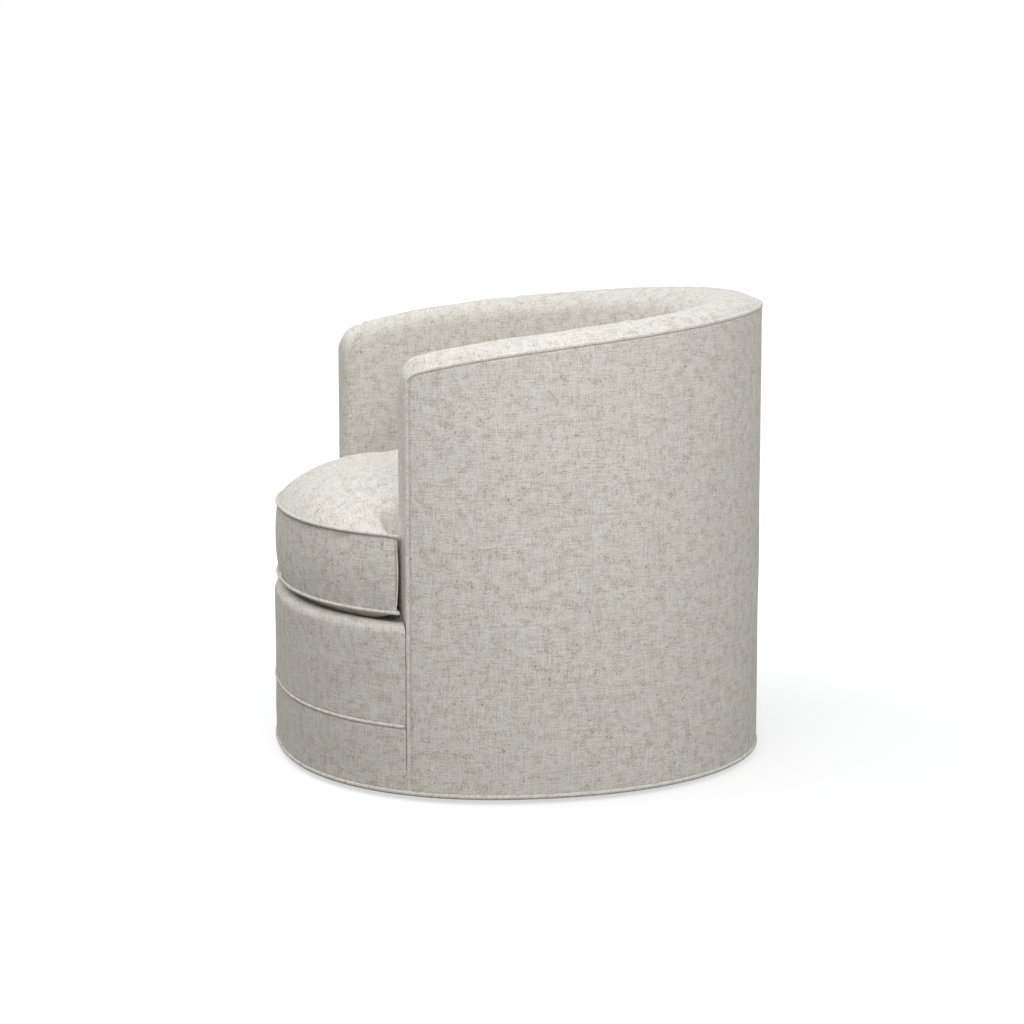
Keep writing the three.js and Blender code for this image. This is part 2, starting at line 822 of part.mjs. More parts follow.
function addInnerFoam() {
  const outer = insetPlan(outerPlan, frameInset + seamGap);
  const inner = insetPlan(innerPlan, -coverThickness - seamGap);
  const step = insetPlan(outerPlan, foamStepInset);
  const crownShares = [0, 0.14, 0.28, 0.5, 0.72, 0.86, 1];
  const rings = wallShares(0, wallSteps).map((share) => {
    const station = wallStation(share);
    const [outside, inside, back] = [outer, inner, step].map(station);
    const stepZ = (p) => rimHeight(p.y) - foamStepDrop;
    const crown = crownShares.map((part) => {
      const p = outside.clone().lerp(inside, part);
      const rise = rimCrown * (1 - Math.abs(2 * part - 1) ** rimRoundness);
      return at(p, rimHeight(p.y) - coverThickness - seamGap + rise);
    });
    const low = [at(inside, coverBottomHeight), at(back, coverBottomHeight), at(back, stepZ(back))];
    return [at(outside, stepZ(outside)), ...crown, ...low];
  });
  piece(seat, "inner_foam", loft(rings), foam);
}

function addOuterPanel() {
  const belowWelt = weltRadius + 3 * seamGap;
  const radius = weltCornerRadius - belowWelt;
  const front = armFrontY + weltRadius + belowWelt;
  const top = (y) => rimHeight(y) - belowWelt - cornerDrop(y, front, radius);
  const inner = insetPlan(outerPlan, panelThickness);
  piece(seat, "outer_panel", ribbon(wholeWall(front), outerPlan, inner, skirtBottom, top), fabric);
}

function addRimWelt() {
  const plan = insetPlan(outerPlan, weltInset);
  const front = armFrontY + weltRadius;
  const turns = evenShares(0, 1, cornerSteps).map((share) => (share * Math.PI) / 2);
  const armEnd = (side) => {
    const low = sideStation(front, side)(plan);
    const corner = turns.map((turn) => {
      const p = sideStation(front + weltCornerRadius * (1 - Math.cos(turn)), side)(plan);
      return at(p, rimHeight(p.y) - weltCornerRadius * (1 - Math.sin(turn)));
    });
    return [at(low, skirtBottom), ...corner];
  };
  const along = wallShares(0, wallSteps).map((share) => {
    const p = wallStation(share)(plan);
    return at(p, rimHeight(p.y));
  });
  const path = [...armEnd(1), ...along, ...armEnd(-1).reverse()];
  piece(seat, "rim_welt", tube(path, weltRadius, weltSides, fromMiddle), fabric);
}

// Front: a padded upper panel over a lower band, with a welt between them

function addFront() {
  const end = armFrontY - seamGap;
  const bottom = midWeltHeight + weltRadius + seamGap;
  const turns = evenShares(0, 1, 3).map((share) => (share * Math.PI) / 2);
  const rings = frontRun(end).map((station) => {
    const edge = turns.map((turn) => {
      const p = station(insetPlan(outerPlan, frontEdgeRadius * (1 - Math.cos(turn))));
      return at(p, frontEdgeHeight - frontEdgeRadius * (1 - Math.sin(turn)));
    });
    const inside = station(insetPlan(outerPlan, frontPadThickness));
    return [at(station(outerPlan), bottom), ...edge, at(inside, bottom)];
  });
  piece(seat, "front_panel", loft(rings), fabric);
  const bandTop = midWeltHeight - weltRadius - seamGap;
  const band = ribbon(frontRun(end), outerPlan, insetPlan(outerPlan, panelThickness), skirtBottom, bandTop);
  piece(seat, "front_band", band, fabric);
  const weltPlan = insetPlan(outerPlan, weltInset);
  const path = frontRun(end - seamGap).map((station) => at(station(weltPlan), midWeltHeight));
  piece(seat, "front_mid_welt", tube(path, weltRadius, weltSides, upward), fabric);
}

function addBaseWelt() {
  const plan = insetPlan(outerPlan, weltInset);
  const angles = evenShares(0, 2 * Math.PI, baseSegments).slice(0, -1);
  const path = angles.map((angle) => at(outlineAt(plan, angle), skirtClearance + weltRadius));
  piece(seat, "base_welt", tube(path, weltRadius, weltSides, upward, true), fabric);
}

// Cushion: crowned top, bulging boxing drawn in at its two welts, soft belly

function cushionOutline(shrink) {
  const inner = insetPlan(cushionPlan, shrink);
  return seatOutline(inner, insetPlan(outerPlan, shrink), armFrontY - cushionClearance - shrink);
}

// Small oval in the cushion's middle, with a point for each point of the cushion's outline.
function middleOval() {
  const outline = cushionOutline(0);
  const [back, front] = [outline[0].y, outline[outline.length / 2].y];
  const lengths = outline.map((p, i) => p.distanceTo(outline[(i + 1) % outline.length]));
  const round = lengths.reduce((sum, length) => sum + length, 0);
  let run = 0;
  return lengths.map((length) => {
    const turn = (2 * Math.PI * run) / round;
    run += length;
    const aside = cushionPlan.halfWidth * cushionMiddleShare * Math.sin(turn);
    const ahead = ((back - front) / 2) * cushionMiddleShare * Math.cos(turn);
    return new THREE.Vector2(aside, (back + front) / 2 + ahead);
  });
}

const cushionMiddle = middleOval();

// Ring of the cushion at a height: shrunk all round, then pulled towards the oval in the middle.
// The pull takes the ears in sideways first, so that the crown runs smoothly over them.
function cushionRing(shrink, pull, z) {
  const { lerp, smoothstep } = THREE.MathUtils;
  const outline = cushionOutline(shrink);
  const corner = wallSteps / 2 + 1;
  const [cornerX, tipX] = [outline[corner].x, outline[corner + 1].x];
  const drawnIn = 1 - (1 - cornerX / tipX) * earBlendShare * smoothstep(pull, 0, earPullShare);
  const latePull = Math.max(0, (pull - earPullShare) / (1 - earPullShare));
  return outline.map((p, i) => {
    const onEars = i > corner && i < outline.length - corner;
    const beforeArms = i >= corner && i <= outline.length - corner;
    const late = beforeArms ? Math.min(1, Math.abs(p.x / cornerX)) ** 2 : 0;
    const x = lerp(onEars ? p.x * drawnIn : p.x, cushionMiddle[i].x, pull);
    return new THREE.Vector3(x, lerp(p.y, cushionMiddle[i].y, lerp(pull, latePull, late)), z);
  });
}

function crownRings(shrink, top, rise) {
  const pullShares = [0.05, 0.15, 0.35, 0.65, 1];
  return pullShares.map((pull) =>
    cushionRing(shrink, pull, top + rise * (1 - (1 - pull) ** cushionCrownRoundness)),
  );
}

function cushionOutside() {
  const seam = cushionWeltInset + weltRadius + seamGap;
  const half = weltRadius + 2 * seamGap;
  const full = half + seamSlope;
  const middle = (cushionLowWelt + cushionTopWelt) / 2;
  return loft(
    [
      cushionRing(seam, 1, cushionBottom),
      cushionRing(seam, earPullShare, cushionBottom),
      cushionRing(seam, 0.06, cushionBottom + cushionBelly / 3),
      cushionRing(seam, 0, cushionLowWelt - half),
      cushionRing(seam, 0, cushionLowWelt + half),
      cushionRing(boxingEase, 0, cushionLowWelt + full),
      cushionRing(0, 0, middle),
      cushionRing(boxingEase, 0, cushionTopWelt - full),
      cushionRing(seam, 0, cushionTopWelt - half),
      cushionRing(seam, 0, cushionTopWelt + half),
      ...crownRings(seam, cushionTopWelt + half, cushionCrown - half),
    ],
    { flat: true },
  );
}

// The space inside the cover, or the filling, which has a little ease and has settled below the crown.
function cushionInside(ease, settle) {
  const inset = cushionWall + ease;
  const skin = cushionWall - cushionWeltInset - weltRadius;
  const bottom = cushionBottom + skin + ease;
  return loft(
    [
      cushionRing(inset, 1, bottom),
      cushionRing(inset, earPullShare, bottom),
      cushionRing(inset, 0, cushionLowWelt + settle / 2),
      cushionRing(inset, 0, cushionTopWelt - settle),
      ...crownRings(inset, cushionTopWelt - settle, cushionCrown - skin),
    ],
    { flat: true },
  );
}

function zipperStations(extra) {
  const half = zipperHalfAngle + extra;
  return evenShares(-half, half, 2 * cornerSteps).map(angleStation);
}

function addCushion() {
  const slack = seamGap / innerPlan.back;
  const slot = ribbon(
    zipperStations(slack),
    insetPlan(cushionPlan, -overrun),
    insetPlan(cushionPlan, cushionWall + overrun),
    zipperHeight - zipperHalfHeight - seamGap,
    zipperHeight + zipperHalfHeight + seamGap,
  );
  piece(cushion, "cushion_cover", cut(cushionOutside(), cushionInside(0, 0), slot), fabric);
  piece(cushion, "cushion_filling", cushionInside(seamGap, fillingSettle), foam);
  for (const [name, height] of [
    ["top", cushionTopWelt],
    ["bottom", cushionLowWelt],
  ]) {
    const path = cushionRing(cushionWeltInset, 0, height);
    piece(cushion, `cushion_${name}_welt`, tube(path, weltRadius, weltSides, upward, true), fabric);
  }
  const tape = ribbon(
    zipperStations(0),
    insetPlan(cushionPlan, zipperInset),
    insetPlan(cushionPlan, zipperInset + zipperThickness),
    zipperHeight - zipperHalfHeight,
    zipperHeight + zipperHalfHeight,
  );
  piece(cushion, "cushion_zipper", tape, nylon);
  const sliderHalf = sliderWidth / (2 * cushionPlan.back);
  const sliderAngle = zipperHalfAngle - 2 * sliderHalf;
  const slider = ribbon(
    [sliderAngle - sliderHalf, sliderAngle + sliderHalf].map(angleStation),
    insetPlan(cushionPlan, zipperInset - 2 * seamGap - sliderThickness),
    insetPlan(cushionPlan, zipperInset - 2 * seamGap),
    zipperHeight - zipperHalfHeight / 2,
    zipperHeight + zipperHalfHeight / 2,
  );
  piece(cushion, "zip_slider", slider, steel);
}

addBaseDisc();
addGlides();
addSwivelBase();
addBallCage();
addBottom();
addPosts();
addTopRails();
addSeatRails();
addSprings();
addClips();
addDeck();
addInnerCover();
addInnerFoam();
addOuterPanel();
addRimWelt();
addFront();
addBaseWelt();
addCushion();

export default chair;
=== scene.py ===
import bpy
import bmesh
import math
import numpy as np
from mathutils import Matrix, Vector


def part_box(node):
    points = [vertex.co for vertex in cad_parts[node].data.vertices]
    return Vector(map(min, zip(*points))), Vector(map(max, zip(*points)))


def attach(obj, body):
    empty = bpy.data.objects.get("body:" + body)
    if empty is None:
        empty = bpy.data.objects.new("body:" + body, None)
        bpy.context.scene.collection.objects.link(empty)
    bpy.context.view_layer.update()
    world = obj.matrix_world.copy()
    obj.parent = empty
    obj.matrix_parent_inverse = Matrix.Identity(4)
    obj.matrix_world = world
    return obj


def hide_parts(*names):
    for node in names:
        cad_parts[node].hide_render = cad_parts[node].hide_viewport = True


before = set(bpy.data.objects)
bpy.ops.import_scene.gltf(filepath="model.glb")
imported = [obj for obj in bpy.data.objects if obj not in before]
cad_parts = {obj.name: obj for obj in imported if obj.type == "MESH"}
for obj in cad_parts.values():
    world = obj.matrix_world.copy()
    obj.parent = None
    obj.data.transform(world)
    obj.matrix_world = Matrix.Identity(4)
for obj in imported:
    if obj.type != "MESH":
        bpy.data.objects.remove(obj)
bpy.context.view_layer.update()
bpy.ops.object.select_all(action="DESELECT")
print("frame loaded")

# Boxes of the solids that the upholstery follows
panelLow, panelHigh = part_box("outer_panel")
frontLow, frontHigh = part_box("front_panel")
coverLow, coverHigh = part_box("inner_cover")
rimLow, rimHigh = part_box("rim_welt")
baseLow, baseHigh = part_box("base_welt")
deckLow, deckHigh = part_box("deck_cover")
cushionLow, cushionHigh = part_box("cushion_cover")
zipLow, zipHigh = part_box("cushion_zipper")


def middleHeight(node):
    low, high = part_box(node)
    return (low.z + high.z) / 2


# The chair's plan is half an oval to the back and half a squarer one to the front
chair = {
    "centreY": -0.024,
    "backRoundness": 2.05,
    "frontRoundness": 2.28,
    "armThickness": 0.090,
    "backThickness": 0.115,
    "frontInset": 0.021,
    "armWeltHeight": 0.6385,
    "backLift": 0.0080,
    "shoulderRise": 0.022,
    "shoulderLength": 0.085,
    "crown": 0.020,
    "crownRoundness": 2.6,
    "armCornerRadius": 0.024,
    "weltCornerRadius": 0.014,
}

# Cord inside every seam. The base welt is the full one
piping = {"radius": 0.0034, "full": 0.0039, "inset": 0.0018, "sides": 14, "fill": 0.9}

# How cloth lies: its thickness, the rows close to a seam, and the bands in which
# the roll, the gathers and the padding's swell begin beside it
sewing = {
    "cloth": 0.0022,
    "gap": 0.0012,
    "roll": 0.0046,
    "rows": (0, 0.0004, 0.0010, 0.0018, 0.0028, 0.0040, 0.0058),
    "rowsReach": 0.009,
    "depth": 0.010,
    "gatherBand": (0.001, 0.006),
    "gatherFade": 0.016,
    "swellBand": (0.002, 0.03),
}

armFrontY = coverLow.y
shoulderY = armFrontY + chair["armCornerRadius"]
outerPlan = {
    "halfWidth": panelHigh.x,
    "back": panelHigh.y - chair["centreY"],
    "front": chair["centreY"] - frontLow.y,
}
innerPlan = {
    "halfWidth": outerPlan["halfWidth"] - chair["armThickness"],
    "back": outerPlan["back"] - chair["backThickness"],
    "front": outerPlan["front"] - chair["frontInset"],
}
weltCord = (baseHigh.z - baseLow.z) / 2
rimTop = rimHigh.z - weltCord
midSeam = middleHeight("front_mid_welt")
baseSeam = middleHeight("base_welt")
lowSeam = middleHeight("cushion_bottom_welt")
topSeam = middleHeight("cushion_top_welt")


# Plans and the stations along them

def insetPlan(plan, distance):
    return {key: plan[key] - distance for key in plan}


def outlineAt(plan, angle):
    sine, cosine = np.sin(angle), np.cos(angle)
    reach = np.where(cosine < 0, plan["front"], plan["back"])
    power = np.where(cosine < 0, chair["frontRoundness"], chair["backRoundness"])
    total = np.abs(sine / plan["halfWidth"]) ** power + np.abs(cosine / reach) ** power
    radius = total ** (-1 / power)
    return np.stack([radius * sine, chair["centreY"] + radius * cosine], -1)


def angleAtDepth(plan, y):
    offset = np.asarray(y) - chair["centreY"]
    reach = np.where(offset < 0, plan["front"], plan["back"])
    power = np.where(offset < 0, chair["frontRoundness"], chair["backRoundness"])
    x = plan["halfWidth"] * (1 - np.abs(offset / reach) ** power) ** (1 / power)
    return np.arctan2(x, offset)


# Stations from the +X arm's front round the back to the -X arm's front
def wallRun(frontY, cornerSteps, wallSteps):
    turns = np.linspace(0, math.pi / 2, cornerSteps + 1)[:-1]
    depths = frontY + (shoulderY - frontY) * (1 - np.cos(turns))
    shares = np.linspace(1, -1, wallSteps + 1)
    ends = np.full(len(shares), shoulderY)
    return {
        "depth": np.concatenate([depths, ends, depths[::-1]]),
        "share": np.concatenate([np.ones(len(depths)), shares, -np.ones(len(depths))]),
        "atEnd": np.concatenate([np.ones(len(depths)), np.zeros(len(shares)), np.ones(len(depths))]) > 0,
    }


def placeWall(run, plan):
    atWall = run["share"] * angleAtDepth(plan, shoulderY)
    atEnd = np.sign(run["share"]) * angleAtDepth(plan, run["depth"])
    return outlineAt(plan, np.where(run["atEnd"], atEnd, atWall))


# Stations of the front, from the +X arm round to the -X arm, all ending at one depth
def placeFront(shares, plan, endY):
    halfTurn = math.pi - angleAtDepth(plan, endY)
    return outlineAt(plan, math.pi - shares * halfTurn)


def rimHeight(y):
    along = np.maximum(0, y - armFrontY)
    shoulder = chair["shoulderRise"] * (1 - np.exp(-along / chair["shoulderLength"]))
    rise = rimTop + chair["backLift"] - chair["armWeltHeight"] - chair["shoulderRise"]
    return chair["armWeltHeight"] + shoulder + rise * along / (panelHigh.y - armFrontY)


def cornerDrop(y, frontY, radius):
    short = np.maximum(0, radius - np.maximum(0, y - frontY))
    return radius - np.sqrt(np.maximum(0, radius**2 - short**2))


def lengthAlong(points):
    steps = np.linalg.norm(np.diff(points, axis=0), axis=1)
    return np.concatenate([[0], np.cumsum(steps)])


def lengthFromMiddle(points):
    along = lengthAlong(points)
    return along - along[-1] / 2


def smooth(low, high, value):
    t = np.clip((value - low) / (high - low), 0, 1)
    return t * t * (3 - 2 * t)


# How far cloth rolls in towards a seam, at a distance from its edge
def edgeRoll(distance, radius):
    t = np.clip(1 - distance / radius, 0, 1)
    return radius * (1 - np.sqrt(1 - t * t * 0.94))


# Slow uneven swell of cloth over padding
def swell(u, v, size, depth, seed):
    draw = np.random.default_rng(seed)
    total = 0
    waves = 7
    for _ in range(waves):
        heading = draw.uniform(0, 2 * math.pi)
        wavelength = size * draw.uniform(0.6, 1.7)
        phase = draw.uniform(0, 2 * math.pi)
        total = total + np.sin(
            2 * math.pi * (u * math.cos(heading) + v * math.sin(heading)) / wavelength + phase
        )
    return depth * total / math.sqrt(waves)


# Fine gathers that fade away from a seam
def gathers(u, distance, depth, seed):
    fade = np.exp(-distance / sewing["gatherFade"])
    return fade * (swell(u, u * 0, 0.019, depth, seed) + swell(u, u * 0, 0.045, depth, seed + 1))


# A short pulled crease from one place to another on the cloth
def crease(u, v, start, end, width, depth):
    start, end = np.array(start), np.array(end)
    length = np.linalg.norm(end - start)
    way = (end - start) / length
    along = (u - start[0]) * way[0] + (v - start[1]) * way[1]
    aside = (v - start[1]) * way[0] - (u - start[0]) * way[1]
    ends = smooth(-0.2 * length, 0.25 * length, along) * (1 - smooth(0.6 * length, 1.1 * length, along))
    fold = np.exp(-((aside / width) ** 2)) - 0.6 * np.exp(-(((aside - 1.7 * width) / width) ** 2))
    return depth * ends * fold


def lift(flat, height):
    return np.concatenate([flat, np.broadcast_to(height, flat.shape[:-1])[..., None]], -1)


# Points of a sheet that lies inward of its outline by so much at each place
def sheetPoints(face, inside, inward, heights):
    share = (inward / sewing["depth"])[..., None]
    flat = face[:, None] * (1 - share) + inside[:, None] * share
    return lift(flat, heights)


# Meshes from grids of points

def gridFaces(rows, columns, first, flip):
    corner = first + np.arange((rows - 1) * columns).reshape(rows - 1, columns)[:, :-1].ravel()
    faces = np.stack([corner, corner + 1, corner + columns + 1, corner + columns], -1)
    return faces[:, ::-1] if flip else faces


def newObject(name, mesh):
    piece = bpy.data.objects.new(name, mesh)
    bpy.context.scene.collection.objects.link(piece)
    return piece


# Cloth from grids of points. Each grid is (points, cloth coordinates, a direction that its middle faces)
def clothMesh(name, grids):
    points, coordinates, faces = [], [], []
    first = 0
    for grid, weave, facing in grids:
        rows, columns = grid.shape[:2]
        i, j = rows // 2, columns // 2
        normal = np.cross(grid[i, j + 1] - grid[i, j], grid[i + 1, j] - grid[i, j])
        faces.append(gridFaces(rows, columns, first, np.dot(normal, facing) < 0))
        points.append(grid.reshape(-1, 3))
        coordinates.append(weave.reshape(-1, 2))
        first += rows * columns
    points = np.concatenate(points)
    coordinates = np.concatenate(coordinates)
    faces = np.concatenate(faces)
    mesh = bpy.data.meshes.new(name)
    mesh.from_pydata(points.tolist(), [], faces.tolist())
    layer = mesh.uv_layers.new(name="weave")
    layer.data.foreach_set("uv", coordinates[faces.ravel()].ravel())
    joined = bmesh.new()
    joined.from_mesh(mesh)
    bmesh.ops.remove_doubles(joined, verts=joined.verts, dist=0.00004)
    joined.to_mesh(mesh)
    joined.free()
    mesh.shade_smooth()
    return newObject(name, mesh)


def applyModifiers(piece):
    bpy.ops.object.select_all(action="DESELECT")
    piece.select_set(True)
    bpy.context.view_layer.objects.active = piece
    for modifier in list(piece.modifiers):
        bpy.ops.object.modifier_apply(modifier=modifier.name)
    piece.select_set(False)


# Gives cloth its thickness, on the side of the padding
def thicken(piece):
    solid = piece.modifiers.new("thickness", "SOLIDIFY")
    solid.thickness = sewing["cloth"]
    solid.offset = -1
    applyModifiers(piece)


# Round cord along a path, with an uneven cloth skin
def cordMesh(name, path, radius, facing, closed, seed=1):
    count, sides = len(path), piping["sides"]
    if closed:
        tangent = np.roll(path, -1, 0) - np.roll(path, 1, 0)
        steps = np.linalg.norm(np.roll(path, -1, 0) - path, axis=1)
        along = np.concatenate([[0], np.cumsum(steps)])
    else:
        tangent = np.gradient(path, axis=0)
        along = lengthAlong(path)
    tangent /= np.linalg.norm(tangent, axis=1)[:, None]
    side = facing - (facing * tangent).sum(1)[:, None] * tangent
    side /= np.linalg.norm(side, axis=1)[:, None]
    other = np.cross(tangent, side)
    turn = np.linspace(0, 2 * math.pi, sides, endpoint=False)
    place, about = np.meshgrid(along[:count], turn, indexing="ij")
    skin = radius * (1 + swell(place, about * radius * 2, 0.03, 0.018, seed))
    if closed:
        blend = smooth(0, 0.05, place)
        skin = radius + (skin - radius) * blend * smooth(0, 0.05, along[-1] - place)
    ring = (
        path[:, None]
        + side[:, None] * (skin * np.cos(about))[..., None]
        + other[:, None] * (skin * np.sin(about))[..., None]
    )
    rounds = count if closed else count - 1
    i, j = [a.ravel() for a in np.meshgrid(np.arange(rounds), np.arange(sides), indexing="ij")]
    nextI, nextJ = (i + 1) % count, (j + 1) % sides
    faces = np.stack([i * sides + j, nextI * sides + j, nextI * sides + nextJ, i * sides + nextJ], -1)
    u = np.stack([along[i], along[i + 1], along[i + 1], along[i]], -1)
    v = np.stack([j, j, j + 1, j + 1], -1) * (2 * math.pi * radius / sides)
    faces, u, v = faces[:, ::-1], u[:, ::-1], v[:, ::-1]
    faces = faces.tolist()
    weave = np.stack([u, v], -1).reshape(-1, 2).tolist()
    if not closed:
        for end, order in ((0, range(sides)), (count - 1, range(sides - 1, -1, -1))):
            faces.append([end * sides + k for k in order])
            weave += [[along[end], k * radius] for k in range(sides)]
    mesh = bpy.data.meshes.new(name)
    mesh.from_pydata(ring.reshape(-1, 3).tolist(), [], faces)
    layer = mesh.uv_layers.new(name="weave")
    layer.data.foreach_set("uv", np.array(weave).ravel())
    mesh.shade_smooth()
    return newObject(name, mesh)


def upholster(piece, body, material, *nodes, fill=0.6):
    piece.data.materials.append(material)
    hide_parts(*nodes)
    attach(piece, body)
    print(piece.name, len(piece.data.polygons), "faces")


# Materials

def addNode(tree, kind, sockets=None, **settings):
    made = tree.nodes.new(kind)
    for key, value in settings.items():
        setattr(made, key, value)
    for key, value in (sockets or {}).items():
        if isinstance(value, bpy.types.NodeSocket):
            tree.links.new(value, made.inputs[key])
        else:
            made.inputs[key].default_value = value
    return made


def newMaterial(name, roughness, metallic=0.0, sheen=0.0):
    material = bpy.data.materials.new(name)
    material.use_nodes = True
    shader = material.node_tree.nodes["Principled BSDF"]
    shader.inputs["Roughness"].default_value = roughness
    shader.inputs["Metallic"].default_value = metallic
    shader.inputs["Sheen Weight"].default_value = sheen
    return material, material.node_tree, shader


def objectPlace(tree):
    return addNode(tree, "ShaderNodeTexCoord").outputs["Object"]


def paint(tree, shader, colour):
    tree.links.new(colour, shader.inputs["Base Color"])


def roughen(tree, shader, height, strength, distance):
    bump = addNode(tree, "ShaderNodeBump", {"Height": height, "Strength": strength, "Distance": distance})
    tree.links.new(bump.outputs["Normal"], shader.inputs["Normal"])


def mapped(tree, source, scale, turn=0.0, shift=(0.0, 0.0, 0.0)):
    sockets = {"Vector": source, "Scale": scale, "Rotation": (0, 0, turn), "Location": shift}
    return addNode(tree, "ShaderNodeMapping", sockets).outputs["Vector"]


def noiseOn(tree, vector, scale, detail=2.0, roughness=0.5):
    sockets = {"Vector": vector, "Scale": scale, "Detail": detail, "Roughness": roughness}
    return addNode(tree, "ShaderNodeTexNoise", sockets).outputs["Fac"]


def ranged(tree, value, low, high, newLow=0.0, newHigh=1.0):
    sockets = {"Value": value, 1: low, 2: high, 3: newLow, 4: newHigh}
    return addNode(tree, "ShaderNodeMapRange", sockets, clamp=True).outputs["Result"]


def calculated(tree, operation, first, second=0.0):
    return addNode(tree, "ShaderNodeMath", {0: first, 1: second}, operation=operation).outputs["Value"]


def times(tree, first, second):
    return calculated(tree, "MULTIPLY", first, second)


def tinted(tree, factor, colour, other, blend="MIX"):
    sockets = {0: factor, 6: colour, 7: other}
    return addNode(tree, "ShaderNodeMix", sockets, data_type="RGBA", blend_type=blend).outputs[2]


# Slubby linen tweed. Lengths are in metres on the cloth, u along the weft and v up the warp
linen = {
    "ground": (0.774, 0.743, 0.683, 1),
    "cool": (0.740, 0.723, 0.686, 1),
    "tan": (0.50, 0.405, 0.27, 1),
    "pale": (0.90, 0.89, 0.85, 1),
    "grey": (0.47, 0.43, 0.36, 1),
    "dark": (0.30, 0.235, 0.165, 1),
    "roughness": 0.93,
    "sheen": 0.12,
    "threadPitch": 0.0012,
    "threadDepth": 0.0004,
    "slubRise": 0.9,
    "patchScale": (54, 62, 1),
    "dotScale": 460.0,
    "speckScale": 420.0,
    "speckShare": 0.5,
    "grainScale": 620.0,
    "patchShare": 0.78,
    "warpShare": 0.95,
    "grain": 0.17,
    # length and width of a streak, the noise it begins and ends at, and its share of the colour
    "paleYarn": (0.030, 0.0015, 0.47, 0.80, 0.50),
    "greyYarn": (0.022, 0.0015, 0.48, 0.78, 0.62),
    "slub": (0.0055, 0.0019, 0.60, 0.78, 0.90),
}


def makeLinen(name, turn=0.0, strength=1.0):
    material, tree, shader = newMaterial(name, linen["roughness"], sheen=linen["sheen"])
    cloth = addNode(tree, "ShaderNodeUVMap", uv_map="weave").outputs["UV"]
    if turn:
        cloth = mapped(tree, cloth, (1, 1, 1), turn)

    def streaks(yarn, shift, upright=False):
        length, width, begin, end, _ = yarn
        scale = (1 / width, 1 / length, 1) if upright else (1 / length, 1 / width, 1)
        spread = noiseOn(tree, mapped(tree, cloth, scale, shift=(shift, shift * 1.7, shift)), 1.0, 1.0)
        return ranged(tree, spread, begin, end)

    def laid(colour, yarn, dye, shift, among=None):
        for k, upright in enumerate((False, True)):
            most = yarn[-1] * strength * (linen["warpShare"] if upright else 1)
            share = times(tree, streaks(yarn, shift + k, upright), most)
            if among:
                share = times(tree, share, among)
            colour = tinted(tree, share, colour, dye)
        return colour

    # tan patches, broken up by dots
    patchy = noiseOn(tree, mapped(tree, cloth, linen["patchScale"]), 1.0, 3.0, 0.62)
    patches = ranged(tree, patchy, 0.45, 0.68)
    dots = ranged(tree, noiseOn(tree, cloth, linen["dotScale"], 1.0), 0.36, 0.64, 0.15, 1.0)
    broad = ranged(tree, noiseOn(tree, cloth, 14.0, 2.0), 0.35, 0.68)
    colour = tinted(tree, broad, linen["ground"], linen["cool"])
    tanShare = times(tree, patches, linen["patchShare"] * strength)
    tanShare = times(tree, tanShare, dots)
    colour = tinted(tree, tanShare, colour, linen["tan"])
    colour = laid(colour, linen["greyYarn"], linen["grey"], 7.7)
    colour = laid(colour, linen["paleYarn"], linen["pale"], 3.1)
    nearPatches = ranged(tree, patches, 0.0, 0.6, 0.35, 1.0)
    colour = laid(colour, linen["slub"], linen["dark"], 11.3, nearPatches)
    specks = ranged(tree, noiseOn(tree, cloth, linen["speckScale"], 1.0), 0.70, 0.80)
    speckShare = times(tree, specks, linen["speckShare"] * strength)
    colour = tinted(tree, speckShare, colour, linen["dark"])
    # crossed threads, raised in turn; their low points are also painted darker as painted shade
    waves = []
    for direction in ("Y", "X"):
        sockets = {"Vector": mapped(tree, cloth, (1, 1, 1)), "Scale": 0.314 / linen["threadPitch"]}
        sockets.update({"Distortion": 0.8, "Detail": 1.0})
        wave = addNode(tree, "ShaderNodeTexWave", sockets, bands_direction=direction)
        waves.append(wave.outputs["Fac"])
    threads = times(tree, *waves)
    fine = noiseOn(tree, cloth, linen["grainScale"], 1.0)
    grain = ranged(tree, fine, 0.3, 0.7, 1 - linen["grain"], 1 + linen["grain"])
    # grain is the yarn's own random tone; the thread factor is painted shade, darker where the weave's bump
    # is low
    grainAndWeaveShade = times(tree, grain, ranged(tree, threads, 0.0, 1.0, 0.92, 1.06))
    grainAndWeaveShadeColour = addNode(tree, "ShaderNodeCombineColor", {0: grainAndWeaveShade, 1: grainAndWeaveShade, 2: grainAndWeaveShade}).outputs["Color"]
    colour = tinted(tree, 1.0, colour, grainAndWeaveShadeColour, "MULTIPLY")
    paint(tree, shader, colour)
    slubHeight = streaks(linen["paleYarn"], 21.0)
    height = calculated(tree, "ADD", threads, times(tree, slubHeight, linen["slubRise"]))
    roughen(tree, shader, height, 0.35, linen["threadDepth"])
    return material


linenCloth = makeLinen("linenCloth")
linenBias = makeLinen("linenBias", turn=math.pi / 4, strength=0.9)
print("cloth materials ready")


# Camera at the photograph's place
camera = {
    "azimuth": 78.26,
    "elevation": 8.247,
    "position": (3.9052, -0.8190, 0.9585),
    "lens": 86.266,
    "sensor": 36,
}


def makeCamera():
    azimuth, elevation = math.radians(camera["azimuth"]), math.radians(camera["elevation"])
    level = math.cos(elevation)
    back = Vector((math.sin(azimuth) * level, -math.cos(azimuth) * level, math.sin(elevation)))
    data = bpy.data.cameras.new("camera")
    data.lens = camera["lens"]
    data.sensor_width = camera["sensor"]
    eye = newObject("camera", data)
    eye.location = camera["position"]
    eye.rotation_mode = "QUATERNION"
    eye.rotation_quaternion = (-back).to_track_quat("-Z", "Y")
    bpy.context.scene.camera = eye


